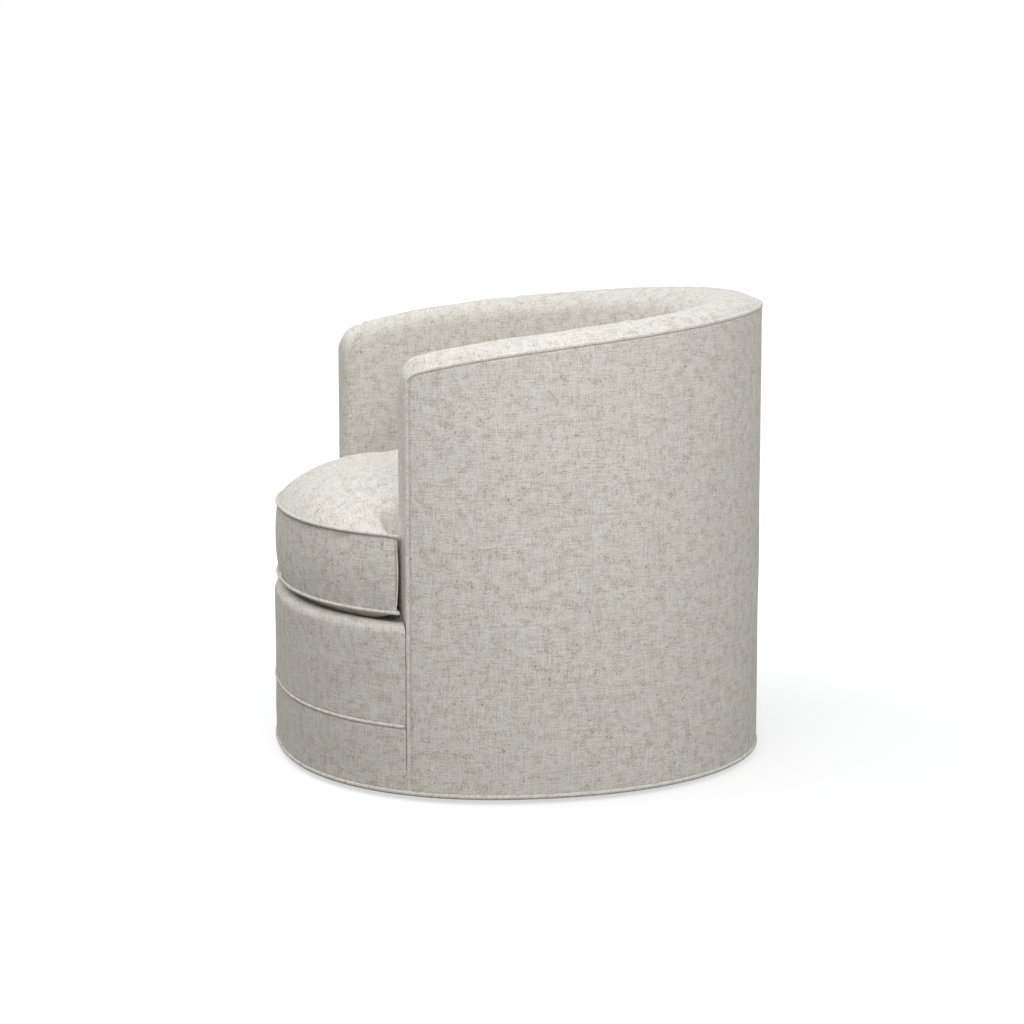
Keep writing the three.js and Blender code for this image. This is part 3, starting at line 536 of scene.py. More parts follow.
studio = {
    "floorColour": (0.42, 0.42, 0.42, 1),
    "floorBounce": (0.115, 0.102, 0.084, 1),
    "floorGlow": 0.63,
    "farGlow": 0.96,
    "ambient": 0.37,
    "skyColour": (0.93, 0.97, 1, 1),
    "clearFloor": (0.7, 2.2),
    # place, aim, size, power and colour
    "lamps": {
        "overhead": ((-0.7, -0.3, 3.0), (0, 0, 0.4), 2.4, 31, (0.91, 0.96, 1)),
        "key": ((1.95, -0.6, 1.5), (0.3, -0.1, 0.4), 1.5, 21, (1, 1, 1)),
        "side": ((2.4, 0.3, 0.85), (0.3, 0, 0.4), 1.2, 7, (1, 1, 1)),
        "fill": ((1.2, 2.3, 1.6), (0.2, 0.1, 0.4), 2.2, 21, (1, 0.985, 0.965)),
        "front": ((-0.7, -2.0, 2.7), (0.1, -0.2, 0.4), 1.8, 28, (1, 0.965, 0.925)),
    },
}


def addLamp(name, place, aim, size, power, colour):
    data = bpy.data.lights.new(name, "AREA")
    data.shape = "SQUARE"
    data.size = size
    data.energy = power
    data.color = colour
    light = newObject(name, data)
    light.location = place
    light.rotation_euler = (Vector(aim) - light.location).to_track_quat("-Z", "Y").to_euler()
    light.visible_camera = False


def seenDirectly(tree):
    path = addNode(tree, "ShaderNodeLightPath")
    seen = calculated(tree, "MAXIMUM", path.outputs["Is Camera Ray"], path.outputs["Is Glossy Ray"])
    return calculated(tree, "MAXIMUM", seen, path.outputs["Is Transmission Ray"])


def emptyTree(owner):
    owner.use_nodes = True
    owner.node_tree.nodes.clear()
    return owner.node_tree


# Pale floor that looks white but reflects little light up at the chair
def makeFloor():
    bpy.ops.mesh.primitive_grid_add(x_subdivisions=4, y_subdivisions=4, size=30, location=(0, 0, 0))
    floor = bpy.context.active_object
    floor.name = "floor"
    floor.select_set(False)
    material = bpy.data.materials.new("floor")
    tree = emptyTree(material)
    seen = seenDirectly(tree)
    shown = tinted(tree, seen, studio["floorBounce"], studio["floorColour"])
    matt = addNode(tree, "ShaderNodeBsdfDiffuse", {"Color": shown})
    place = objectPlace(tree)
    away = addNode(tree, "ShaderNodeVectorMath", {0: place}, operation="LENGTH").outputs["Value"]
    glowThere = ranged(tree, away, *studio["clearFloor"], studio["floorGlow"], studio["farGlow"])
    glowShare = times(tree, seen, glowThere)
    glow = addNode(tree, "ShaderNodeEmission", {"Strength": glowShare})
    both = addNode(tree, "ShaderNodeAddShader", {0: matt.outputs[0], 1: glow.outputs[0]})
    addNode(tree, "ShaderNodeOutputMaterial", {"Surface": both.outputs[0]})
    floor.data.materials.append(material)


def makeSky():
    world = bpy.data.worlds.new("studio")
    bpy.context.scene.world = world
    tree = emptyTree(world)
    strength = ranged(tree, seenDirectly(tree), 0, 1, studio["ambient"], 1.0)
    seen = ranged(tree, seenDirectly(tree), 0, 1)
    hue = tinted(tree, seen, studio["skyColour"], (1, 1, 1, 1))
    sky = addNode(tree, "ShaderNodeBackground", {"Color": hue, "Strength": strength})
    addNode(tree, "ShaderNodeOutputWorld", {"Surface": sky.outputs[0]})


makeCamera()
makeFloor()
makeSky()
for lampName, lamp in studio["lamps"].items():
    addLamp(lampName, *lamp)
bpy.context.scene.view_settings.view_transform = "Standard"
print("camera and studio ready")


# Outer panel: one length of cloth from arm front to arm front round the back
outer = {
    "wallSteps": 330,
    "cornerSteps": 12,
    "rowGap": 0.0065,
    "swellSize": 0.16,
    "swellDepth": 0.0004,
    "gatherDepth": 0.00022,
}


def makeOuterPanel():
    frontY = armFrontY + weltCord + sewing["cloth"]
    run = wallRun(frontY, outer["cornerSteps"], outer["wallSteps"])
    face = placeWall(run, outerPlan)
    inside = placeWall(run, insetPlan(outerPlan, sewing["depth"]))
    along = lengthFromMiddle(face)
    cornerRadius = chair["weltCornerRadius"] - sewing["cloth"]
    top = rimHeight(face[:, 1]) - sewing["gap"] - cornerDrop(face[:, 1], frontY, cornerRadius)
    bottom = baseSeam + sewing["gap"]
    rows = int((rimTop - bottom) / outer["rowGap"])
    fine = np.array(sewing["rows"])
    reach = sewing["rowsReach"]
    heights = []
    for z in top:
        middle = np.linspace(bottom + reach, z - reach, rows)
        heights.append(np.concatenate([bottom + fine, middle, (z - fine)[::-1]]))
    heights = np.array(heights)
    u = np.broadcast_to(along[:, None], heights.shape)
    toTop, toBottom = top[:, None] - heights, heights - bottom
    toFront = np.broadcast_to(np.minimum(along - along[0], along[-1] - along)[:, None], heights.shape)
    toEdge = np.minimum(np.minimum(toTop, toBottom), toFront)
    soft = smooth(*sewing["swellBand"], toEdge)
    gathered = smooth(*sewing["gatherBand"], toEdge)
    inward = edgeRoll(toEdge, sewing["roll"])
    inward = inward - soft * swell(u, heights, outer["swellSize"], outer["swellDepth"], 3)
    inward = inward + gathered * gathers(u, toTop, outer["gatherDepth"], 5)
    points = sheetPoints(face, inside, inward, heights)
    piece = clothMesh("outerPanel", [(points, np.stack([u, heights], -1), (0, 1, 0))])
    thicken(piece)
    upholster(piece, "seat", linenCloth, "outer_panel")


makeOuterPanel()


# Inner cover: inside of the arms and back, over the rim to the welt, and round the arm fronts
inner = {
    "wallSteps": 420,
    "cornerSteps": 12,
    "rimSteps": 27,
    "rowGap": 0.0075,
    "belowDeck": 0.006,
    "rimDrop": 0.038,
    "rimFall": 2.15,
    "rimSwell": 0.0004,
    "rimSwellSize": 0.12,
    "cornerBlend": 0.28,
    "settleReach": 0.05,
    "bulge": 0.0035,
    "roundedBand": (0.02, 0.12),
    "softReach": 0.05,
    "wallSwell": 0.0007,
    "wallSwellSize": 0.13,
    "footLap": 0.002,
    "footRadius": 0.013,
    "beforePost": 0.22,
    "footBand": (0, 0.25),
    "postBand": (0.62, 0.80),
    "frontFullness": 0.0010,
    "besideCushion": 0.0022,
    "frontReach": 0.045,
    # side of the chair, depth, lean along the rim, reach across it, width and depth of the fold
    "creases": [
        (1, -0.091, 0.008, (0.006, 0.050), 0.0050, 0.0016),
        (1, 0.105, 0.014, (0.016, 0.088), 0.0080, 0.0034),
        (1, 0.150, -0.010, (0.006, 0.050), 0.0070, 0.0016),
        (1, 0.205, -0.020, (0.006, 0.060), 0.0080, 0.0024),
        (-1, -0.208, -0.006, (0.010, 0.060), 0.0055, 0.0030),
        (-1, 0.060, -0.012, (0.010, 0.070), 0.0080, 0.0014),
    ],
}
armFrontFoot = frontHigh.z - inner["footLap"]
coverBottom = deckLow.z - inner["belowDeck"]


# Brings the arm fronts' inner halves forward over their padding
def fillArmFront(points, shares):
    y, z = points[..., 1], points[..., 2]
    above = inner["frontFullness"] - inner["besideCushion"]
    most = inner["besideCushion"] + above * smooth(topSeam - 0.01, topSeam + 0.04, z)
    most = most * smooth(armFrontFoot, armFrontFoot + 0.05, z)
    most = most * smooth(0, 0.035, chair["armWeltHeight"] - z)
    near = 1 - smooth(0, inner["frontReach"], y - armFrontY)
    points[..., 1] = y - most * near * smooth(0.05, 0.6, shares)


# Height of the padded rim over the welt, from its outer edge across to the inside wall
def rimRise(shares):
    outerHalf = chair["crown"] * (1 - np.abs(1 - 2 * shares) ** chair["crownRoundness"])
    fall = np.clip(2 * shares - 1, 0, 1) ** inner["rimFall"]
    innerHalf = chair["crown"] - inner["rimDrop"] * (1 - (1 - fall) ** (1 / inner["rimFall"]))
    return np.where(shares < 0.5, outerHalf, innerHalf)


# Cloth over the rim, with its creases
def rimSheet(edge, wall, along, shares):
    flat = edge[:, None] + (wall - edge)[:, None] * shares[None, :, None]
    radius, weltRadius = chair["armCornerRadius"], chair["weltCornerRadius"] + weltCord
    blend = np.minimum(1, shares / inner["cornerBlend"])
    corner = cornerDrop(flat[..., 1], armFrontY, weltRadius + (radius - weltRadius) * blend[None])
    across = np.linalg.norm(wall - edge, axis=1)[:, None] * shares[None]
    u = np.broadcast_to(along[:, None], across.shape)
    settle = np.sin(np.pi * shares)[None] * smooth(0, inner["settleReach"], flat[..., 1] - armFrontY)
    wave = settle * swell(u, across, inner["rimSwellSize"], inner["rimSwell"], 8)
    middle = (edge + wall) / 2
    half = len(middle) // 2
    for side, y, lean, reach, width, depth in inner["creases"]:
        begin = side * np.interp(y, middle[:half, 1], along[:half])
        wave = wave - crease(u, across, (begin, reach[0]), (begin + lean, reach[1]), width, depth)
    points = lift(flat, rimHeight(flat[..., 1]) + rimRise(shares)[None] - corner + wave)
    steps = np.linalg.norm(np.diff(points, axis=1), axis=2)
    over = np.concatenate([np.zeros((len(points), 1)), np.cumsum(steps, 1)], 1)
    return points, np.stack([u, -over], -1)


# Cloth of the inside wall, from the rim's end down past the deck
def wallSheet(wall, rimEnd, along, down, level):
    top = rimEnd[:, 2]
    height = top[:, None] + (coverBottom - top)[:, None] * down[None]
    u = np.broadcast_to(along[:, None], height.shape)
    overCushion = height - cushionHigh.z
    above = np.clip(overCushion / (top[:, None] - cushionHigh.z), 0, 1)
    fromFront = np.broadcast_to((wall[:, 1] - armFrontY)[:, None], height.shape)
    rounded = smooth(*inner["roundedBand"], fromFront)
    puff = inner["bulge"] * np.sin(np.pi * above) * rounded
    # short pulls just over the cushion
    low = np.exp(-np.clip(overCushion + 0.03, 0, 1) / 0.05) * (above < 1) * rounded
    pulls = low * swell(u, height * 0.15, 0.05, inner["wallSwell"], 14) * smooth(-0.02, 0.02, overCushion)
    waves = swell(u, height, inner["wallSwellSize"], inner["wallSwell"], 12)
    soft = smooth(0, inner["softReach"], above) * (waves + pulls * 2)
    inwards = np.array([0, chair["centreY"]]) - wall
    inwards /= np.linalg.norm(inwards, axis=1)[:, None]
    shift = (puff + soft * rounded)[..., None] * inwards[:, None]
    points = lift(wall[:, None] + shift, height)
    points[:, 0] = rimEnd
    return points, np.stack([u, height - level], -1)


# Cloth of an arm front, rounded back at the foot, but less where the post stands behind it
def armFrontSheet(face, begin, side, shares, down, level):
    beforePost = inner["beforePost"]
    tucked = smooth(*inner["footBand"], shares) * beforePost
    tucked = tucked + smooth(*inner["postBand"], shares) * (1 - beforePost)
    x = np.broadcast_to(face[None, :, 0], (len(down), len(shares)))
    z = face[None, :, 2] + (coverBottom - face[None, :, 2]) * down[:, None]
    y = face[None, :, 1] + cornerDrop(z, armFrontFoot, inner["footRadius"]) * tucked[None]
    y[:, -1] = face[-1, 1]
    y[0] = face[:, 1]
    weave = np.stack([side * (x - face[None, -1:, 0]) + begin, z - level], -1)
    return np.stack([x, y, z], -1), weave


def makeInnerCover():
    run = wallRun(armFrontY, inner["cornerSteps"], inner["wallSteps"])
    edge = placeWall(run, insetPlan(outerPlan, piping["inset"]))
    drawn = cornerDrop(placeWall(run, innerPlan)[:, 1], armFrontY, chair["armCornerRadius"])
    wall = placeWall(run, insetPlan(innerPlan, -drawn))
    along = lengthFromMiddle((edge + wall) / 2)
    shares = 0.5 - 0.5 * np.cos(np.linspace(0, 1, inner["rimSteps"]) * math.pi)
    down = np.linspace(0, 1, int((rimTop - coverBottom) / inner["rowGap"]))
    rim, rimWeave = rimSheet(edge, wall, along, shares)
    level = rimTop - rimWeave[len(rim) // 2, -1, 1]
    inside, insideWeave = wallSheet(wall, rim[:, -1], along, down, level)
    grids = [(rim, rimWeave, (0, 0, 1)), (inside, insideWeave, (0, -1, 0))]
    for end, side in ((0, 1), (-1, -1)):
        sheet, weave = armFrontSheet(rim[end], along[end], side, shares, down, level)
        grids.append((sheet, weave, (0, -1, 0)))
    for sheet, _, _ in grids:
        fillArmFront(sheet, np.array(1.0) if sheet is inside else shares[None])
    piece = clothMesh("innerCover", grids)
    thicken(piece)
    upholster(piece, "seat", linenCloth, "inner_cover", "inner_foam")


makeInnerCover()


# Front rail: the padded upper panel with its rounded top edge, and the band under it
front = {
    "steps": 170,
    "weltSteps": 190,
    "weltShort": 0.0002,
    "short": 0.0004,
    "edgeRadius": 0.016,
    "rowGap": 0.0065,
    "laps": (0.003, 0.006, 0.009, 0.012),
    "lapDrop": (0.05, 40),
    "ends": (0, 0.0016, 0.004, 0.008),
    "endRoll": 0.003,
    "swellSize": 0.14,
    "swellDepth": 0.00045,
    "gatherDepth": 0.0002,
}


# Welts of the body
def upFrom(path):
    return np.tile([0.0, 0, 1], (len(path), 1))


def makeRimWelt():
    run = wallRun(shoulderY, 1, 420)
    plan = insetPlan(outerPlan, piping["inset"])
    keep = ~run["atEnd"]
    wall = placeWall(run, plan)[keep]
    wallPath = lift(wall, rimHeight(wall[:, 1]))
    radius = chair["weltCornerRadius"]
    frontY = armFrontY + weltCord
    turns = np.linspace(0, math.pi / 2, 11)
    depths = frontY + radius * (1 - np.cos(turns))
    corner = outlineAt(plan, angleAtDepth(plan, depths))
    cornerPath = lift(corner, rimHeight(corner[:, 1]) - radius * (1 - np.sin(turns)))
    legHeights = np.linspace(baseSeam, cornerPath[0, 2], 110)[:-1]
    leg = lift(np.repeat(corner[:1], len(legHeights), 0), legHeights)
    arm = np.concatenate([leg, cornerPath])
    between = (wall[0, 1] - corner[-1, 1]) > 0.0005
    start = wallPath if between else wallPath[1:]
    other = arm[::-1] * np.array([-1, 1, 1])
    path = np.concatenate([arm, start, other])
    outward = path - np.array([0, chair["centreY"], 0])
    outward[:, 2] = 0
    piece = cordMesh("rimWelt", path, piping["radius"], outward, False, 2)
    upholster(piece, "seat", linenBias, "rim_welt", fill=piping["fill"])


def makeMidWelt():
    shares = np.linspace(1, -1, front["weltSteps"])
    path = placeFront(shares, insetPlan(outerPlan, piping["inset"]), armFrontY - front["weltShort"])
    path = lift(path, midSeam)
    piece = cordMesh("midWelt", path, piping["radius"], upFrom(path), False, 4)
    upholster(piece, "seat", linenBias, "front_mid_welt", fill=piping["fill"])


def makeBaseWelt():
    angles = np.linspace(0, 2 * math.pi, 520, endpoint=False)
    path = lift(outlineAt(insetPlan(outerPlan, piping["inset"]), angles), baseSeam)
    piece = cordMesh("baseWelt", path, piping["full"], upFrom(path), True, 6)
    upholster(piece, "seat", linenBias, "base_welt", fill=piping["fill"])


makeRimWelt()
makeMidWelt()
makeBaseWelt()


def frontSheet(name, bottom, top, roundTop, seed):
    shares = np.linspace(1, -1, front["steps"])
    ends = 1 - np.array(front["ends"])
    shares = np.unique(np.concatenate([shares[1:-1], ends, -ends]))[::-1]
    endY = armFrontY - front["short"]
    face = placeFront(shares, outerPlan, endY)
    inside = placeFront(shares, insetPlan(outerPlan, sewing["depth"]), endY)
    along = lengthFromMiddle(face)
    fine = np.array(sewing["rows"])
    reach = sewing["rowsReach"]
    rows = int((top - bottom) / front["rowGap"])
    if roundTop:
        radius = front["edgeRadius"]
        turns = np.linspace(0, math.pi / 2, 9)[1:]
        straight = np.linspace(bottom + reach, top - radius, rows)
        upper = top - radius * (1 - np.sin(turns))
        laps = np.array(front["laps"])
        slope, curve = front["lapDrop"]
        height = np.concatenate([bottom + fine, straight, upper, top - slope * laps - curve * laps**2])
        inset = np.concatenate([fine * 0, straight * 0, radius * (1 - np.cos(turns)), radius + laps])
        # the rolled edge has no seam, so its rows count as far from one
        toEdge = np.concatenate([fine, straight - bottom, upper * 0 + 0.1, laps * 0 + 0.1])
    else:
        straight = np.linspace(bottom + reach, top - reach, rows)
        height = np.concatenate([bottom + fine, straight, (top - fine)[::-1]])
        inset = height * 0
        toEdge = np.minimum(height - bottom, top - height)
    toSide = np.minimum(along - along[0], along[-1] - along)
    edge = np.minimum(toEdge[None], toSide[:, None])
    u = np.broadcast_to(along[:, None], edge.shape)
    v = np.broadcast_to(height[None], edge.shape)
    soft = smooth(*sewing["swellBand"], edge)
    gathered = smooth(*sewing["gatherBand"], edge)
    inward = inset[None] + edgeRoll(toEdge[None] + 0 * u, sewing["roll"])
    inward = inward - soft * swell(u, v, front["swellSize"], front["swellDepth"], seed)
    inward = inward + edgeRoll(toSide[:, None] + 0 * u, front["endRoll"]) * 0.8
    inward = inward + gathered * gathers(u, v - bottom, front["gatherDepth"], seed + 1)
    points = sheetPoints(face, inside, inward, v)
    climb = np.concatenate([[0], np.cumsum(np.hypot(np.diff(height), np.diff(inset)))]) + bottom
    weave = np.stack([u, np.broadcast_to(climb[None], u.shape)], -1)
    piece = clothMesh(name, [(points, weave, (0, -1, 0))])
    thicken(piece)
    return piece


frontPanel = frontSheet("frontPanel", midSeam + sewing["gap"], frontHigh.z, True, 21)
upholster(frontPanel, "seat", linenCloth, "front_panel")
frontBand = frontSheet("frontBand", baseSeam + sewing["gap"], midSeam - sewing["gap"], False, 25)
upholster(frontBand, "seat", linenCloth, "front_band")


# T-shaped outlines: between the arms they follow the inner plan, before them the outer plan
def tOutline(inner, outer, earY, spacing, rounding):
    beside = outlineAt(inner, np.linspace(0, 1, 200) * angleAtDepth(inner, earY))
    before = placeFront(np.linspace(1, 0, 160), outer, earY)
    half = np.concatenate([beside, before])
    whole = np.concatenate([half, half[1:-1][::-1] * np.array([-1, 1])])
    ring = np.concatenate([whole, whole[:1]])
    run = lengthAlong(ring)
    count = int(run[-1] / spacing) // 2 * 2
    places = np.linspace(0, run[-1], count, endpoint=False)
    outline = np.stack([np.interp(places, run, ring[:, k]) for k in range(2)], -1)
    for _ in range(int((rounding / spacing) ** 2)):
        outline = (np.roll(outline, 1, 0) + 2 * outline + np.roll(outline, -1, 0)) / 4
    return outline


# Deck: the cloth platform that the cushion lies on
deck = {"edge": 0.0006, "frontInset": 0.0135, "sag": 0.0015, "turnedDown": 0.004, "spacing": 0.006}


def makeDeck():
    outer = insetPlan(outerPlan, deck["frontInset"])
    beside = insetPlan(innerPlan, deck["edge"])
    outline = tOutline(beside, outer, armFrontY - deck["edge"], deck["spacing"], 0.004)
    middle = outline.mean(0)
    pulls = np.concatenate([[0, 0.01, 0.03], np.linspace(0.06, 0.985, 26)])
    flat = outline[None] * (1 - pulls)[:, None, None] + middle * pulls[:, None, None]
    flat = np.concatenate([flat, flat[:, :1]], 1)
    depth = deck["sag"] * np.sin(np.pi / 2 * pulls)[:, None] + deck["turnedDown"] * (pulls < 0.005)[:, None]
    height = deckHigh.z - depth + swell(flat[..., 0], flat[..., 1], 0.1, 0.0003, 31)
    points = np.concatenate([flat, height[..., None]], -1)
    piece = clothMesh("deckCover", [(points, flat, (0, 0, 1))])
    closer = bmesh.new()
    closer.from_mesh(piece.data)
    holes = [e for e in closer.edges if e.is_boundary and (e.verts[0].co.xy - Vector(middle)).length < 0.03]
    bmesh.ops.contextual_create(closer, geom=holes)
    closer.to_mesh(piece.data)
    closer.free()
    thicken(piece)
    upholster(piece, "seat", linenCloth, "deck_cover", "deck_pad")


makeDeck()


# Seat cushion
cushion = {
    "clearance": 0.003,
    "earClearance": 0.0042,
    "frontSetback": 0.0015,
    "seamInset": 0.0054,
    "rounding": 0.0045,
    "voxel": 0.0066,
    "pressure": 4.0,
    "frames": 20,
    "stiffness": 25,
    "bending": 1.5,
    "mostMoved": 0.006,
    "leftToSwell": 0.0030,
    "crownFill": 3.9,
    "crownEdge": 1.03,
    "bellyReach": 0.038,
    "bellyShape": 1.05,
    "boxingBulge": 0.0044,
    "boxingShape": 2.2,
    "boxingSwell": 0.0006,
    "gatherDepth": 0.00022,
    "pinchDepth": 0.0145,
    "pinchRadius": 0.008,
    "pinchTail": 0.010,
    "foldDepth": 0.0011,
    "foldReach": 0.034,
    "weltInset": 0.0036,
    "weltRadius": 0.0028,
    "weltEarBack": 0.0012,
    "earCornerPush": 0.0038,
    "earCornerReach": 0.014,
    "earSeamRadius": 0.0013,
    "earSeamSink": 0.0047,
    "zipDepth": 0.0034,
    "zipMargin": 0.014,
}
cushionPlan = insetPlan(innerPlan, cushion["clearance"])
cushionEarY = armFrontY - cushion["earClearance"]


def cushionOutline(shrink, earBack=0.0):
    outer = insetPlan(outerPlan, shrink + cushion["frontSetback"])
    earY = cushionEarY - shrink - earBack
    return tOutline(insetPlan(cushionPlan, shrink), outer, earY, 0.005, cushion["rounding"])


# How far the top seam is drawn down into the corner between ear and arm
def pinchAt(points):
    outerX = outlineAt(outerPlan, angleAtDepth(outerPlan, cushionEarY))[0]
    innerX = outlineAt(cushionPlan, angleAtDepth(cushionPlan, cushionEarY))[0]
    x, y = np.abs(points[:, 0]), points[:, 1]
    along = np.clip((outerX - 0.006 - x) / (outerX - 0.006 - innerX), 0, 1)
    before = np.exp(-((np.maximum(0, cushionEarY - 0.006 - y) / cushion["pinchRadius"]) ** 2))
    behind = np.exp(-((np.maximum(0, y - cushionEarY) / cushion["pinchTail"]) ** 2))
    within = np.exp(-((np.maximum(0, innerX - 0.006 - x) / cushion["pinchRadius"]) ** 2))
    return cushion["pinchDepth"] * along * before * behind * within


# Distance inside an outline, and whether a point is inside
def distanceInside(points, outline):
    following = np.roll(outline, -1, 0)
    least = np.full(len(points), 9.0)
    inside = np.zeros(len(points), bool)
    for a, b in zip(outline, following):
        way = b - a
        share = np.clip(((points - a) @ way) / (way @ way), 0, 1)
        gap = points - a - share[:, None] * way
        least = np.minimum(least, np.einsum("ij,ij->i", gap, gap))
        crosses = (a[1] > points[:, 1]) != (b[1] > points[:, 1])
        if abs(way[1]) > 1e-9:
            inside ^= crosses & (points[:, 0] < a[0] + (points[:, 1] - a[1]) * way[0] / way[1])
    return np.where(inside, np.sqrt(least), -np.sqrt(least))


# Height of a stretched skin blown up over an outline, from 0 at its edge to 1 at its top
def blownHeight(outline, cell):
    low, high = outline.min(0) - 2 * cell, outline.max(0) + 2 * cell
    xs, ys = np.arange(low[0], high[0], cell), np.arange(low[1], high[1], cell)
    grid = np.stack(np.meshgrid(xs, ys, indexing="ij"), -1)
    inside = distanceInside(grid.reshape(-1, 2), outline).reshape(grid.shape[:2]) > 0
    height = np.zeros(inside.shape)
    for _ in range(6000):
        around = np.roll(height, 1, 0) + np.roll(height, -1, 0)
        around = around + np.roll(height, 1, 1) + np.roll(height, -1, 1)
        height = np.where(inside, around / 4 + cell**2, 0)
    height /= height.max()

    def at(points):
        place = (points - np.array([xs[0], ys[0]])) / cell
        i, j = np.clip(place[:, 0], 0, len(xs) - 2), np.clip(place[:, 1], 0, len(ys) - 2)
        i0, j0 = i.astype(int), j.astype(int)
        fi, fj = i - i0, j - j0
        near = height[i0, j0] * (1 - fi) * (1 - fj) + height[i0 + 1, j0] * fi * (1 - fj)
        return near + height[i0, j0 + 1] * (1 - fi) * fj + height[i0 + 1, j0 + 1] * fi * fj

    return at


def meshPoints(mesh):
    flat = np.empty(len(mesh.vertices) * 3)
    mesh.vertices.foreach_get("co", flat)
    return flat.reshape(-1, 3)


def setPoints(mesh, points):
    mesh.vertices.foreach_set("co", points.ravel())
    mesh.update()


# A closed block over an outline, remeshed to even cells
def cushionBlock(outline, bottom, top):
    mesh = bpy.data.meshes.new("cushion")
    count = len(outline)
    points = [(x, y, z) for z in (bottom, top) for x, y in outline]
    faces = [list(range(count)), list(range(2 * count - 1, count - 1, -1))]
    faces += [(k, k + count, (k + 1) % count + count, (k + 1) % count) for k in range(count)]
    mesh.from_pydata(points, [], faces)
    block = bmesh.new()
    block.from_mesh(mesh)
    bmesh.ops.recalc_face_normals(block, faces=block.faces)
    block.to_mesh(mesh)
    block.free()
    piece = newObject("cushion", mesh)
    remesh = piece.modifiers.new("even", "REMESH")
    remesh.mode = "VOXEL"
    remesh.voxel_size = cushion["voxel"]
    remesh.use_smooth_shade = True
    applyModifiers(piece)
    return piece


# Outward directions of an outline, and the place along it nearest to each point
def outwardOf(outline):
    way = np.roll(outline, -1, 0) - np.roll(outline, 1, 0)
    out = np.stack([way[:, 1], -way[:, 0]], -1)
    following = np.roll(outline, -1, 0)
    area = (outline[:, 0] * following[:, 1] - following[:, 0] * outline[:, 1]).sum()
    return out * np.sign(area) / np.linalg.norm(out, axis=1)[:, None]


def nearestOn(points, outline):
    nearest = np.zeros(len(points), int)
    for part in np.array_split(np.arange(len(points)), 60):
        gap = points[part, None] - outline[None]
        nearest[part] = np.einsum("ijk,ijk->ij", gap, gap).argmin(1)
    return nearest


# How far the boxing stands out, at a share of the way from its low seam to its top one
def boxingFullness(share):
    return cushion["boxingBulge"] * (1 - np.abs(2 * share - 1) ** cushion["boxingShape"])


# Crown above the top seam, belly below the low one, and boxing full between the two
def shapeCushion(piece, outline, blown):
    points = meshPoints(piece.data)
    inside = np.maximum(0, distanceInside(points[:, :2], outline))
    top = cushionHigh.z - topSeam - cushion["leftToSwell"]
    filled = 1 - (1 - np.clip(blown(points[:, :2]), 0, 1)) ** cushion["crownFill"]
    crown = top * filled ** cushion["crownEdge"]
    above = smooth(topSeam - 0.010, topSeam - 0.002, points[:, 2])
    depth = np.clip(1 - inside / cushion["bellyReach"], 0, 1)
    belly = (lowSeam - cushionLow.z) * (1 - depth**2) ** cushion["bellyShape"]
    below = 1 - smooth(lowSeam + 0.002, lowSeam + 0.010, points[:, 2])
    between = np.clip((points[:, 2] - lowSeam) / (topSeam - lowSeam), 0, 1)
    full = boxingFullness(between) * (1 - smooth(0.003, 0.012, inside))
    points[:, :2] += full[:, None] * outwardOf(outline)[nearestOn(points[:, :2], outline)]
    points[:, 2] += above * crown - below * belly
    setPoints(piece.data, points)
    return points, inside


# Boxing drawn in round the zip, whose tape lies on it
def drawInAtZip(points):
    middle, half = (zipLow.z + zipHigh.z) / 2, (zipHigh.z - zipLow.z) / 2
    margin = cushion["zipMargin"]
    off = np.abs(points[:, 2] - middle)
    near = np.nonzero((points[:, 1] > zipLow.y - margin) & (off < half + margin))[0]
    outline = outlineAt(cushionPlan, np.linspace(0, 2 * math.pi, 720, endpoint=False))
    beside = 1 - smooth(zipHigh.x, zipHigh.x + margin, np.abs(points[near, 0]))
    share = beside * (1 - smooth(half, half + margin, off[near]))
    short = np.maximum(0, cushion["zipDepth"] - distanceInside(points[near, :2], outline)) * share
    points[near, :2] -= short[:, None] * outwardOf(outline)[nearestOn(points[near, :2], outline)]


def simulateCushion(piece, before, inside):
    held = (np.abs(before[:, 2] - topSeam) < 0.005) | (np.abs(before[:, 2] - lowSeam) < 0.005)
    held = (held & (inside < 0.008)) | (before[:, 2] < cushionLow.z + 0.002)
    group = piece.vertex_groups.new(name="held")
    group.add(np.nonzero(held)[0].tolist(), 1.0, "REPLACE")
    cloth = piece.modifiers.new("cloth", "CLOTH")
    settings = cloth.settings
    settings.use_pressure = True
    settings.uniform_pressure_force = cushion["pressure"]
    settings.effector_weights.gravity = 0
    settings.vertex_group_mass = "held"
    settings.tension_stiffness = cushion["stiffness"]
    settings.compression_stiffness = cushion["stiffness"]
    settings.bending_stiffness = cushion["bending"]
    cloth.point_cache.frame_start = 1
    cloth.point_cache.frame_end = cushion["frames"]
    for step in range(1, cushion["frames"] + 1):
        bpy.context.scene.frame_set(step)
    applyModifiers(piece)
    bpy.context.scene.frame_set(1)
    after = meshPoints(piece.data)
    move = after - before
    far = np.linalg.norm(move, axis=1)
    move *= (np.minimum(far, cushion["mostMoved"]) / np.maximum(far, 1e-9))[:, None]
    print("cushion moved", round(float(far.max()) * 1000, 1), "mm at most")
    setPoints(piece.data, before + move)


# Outer corner of the +X ear, and the direction it points in
def earCorner():
    inset = cushion["seamInset"]
    plan = insetPlan(outerPlan, inset + cushion["frontSetback"])
    corner = outlineAt(plan, angleAtDepth(plan, cushionEarY - inset))
    return corner, np.array([math.sqrt(0.5), math.sqrt(0.5)])


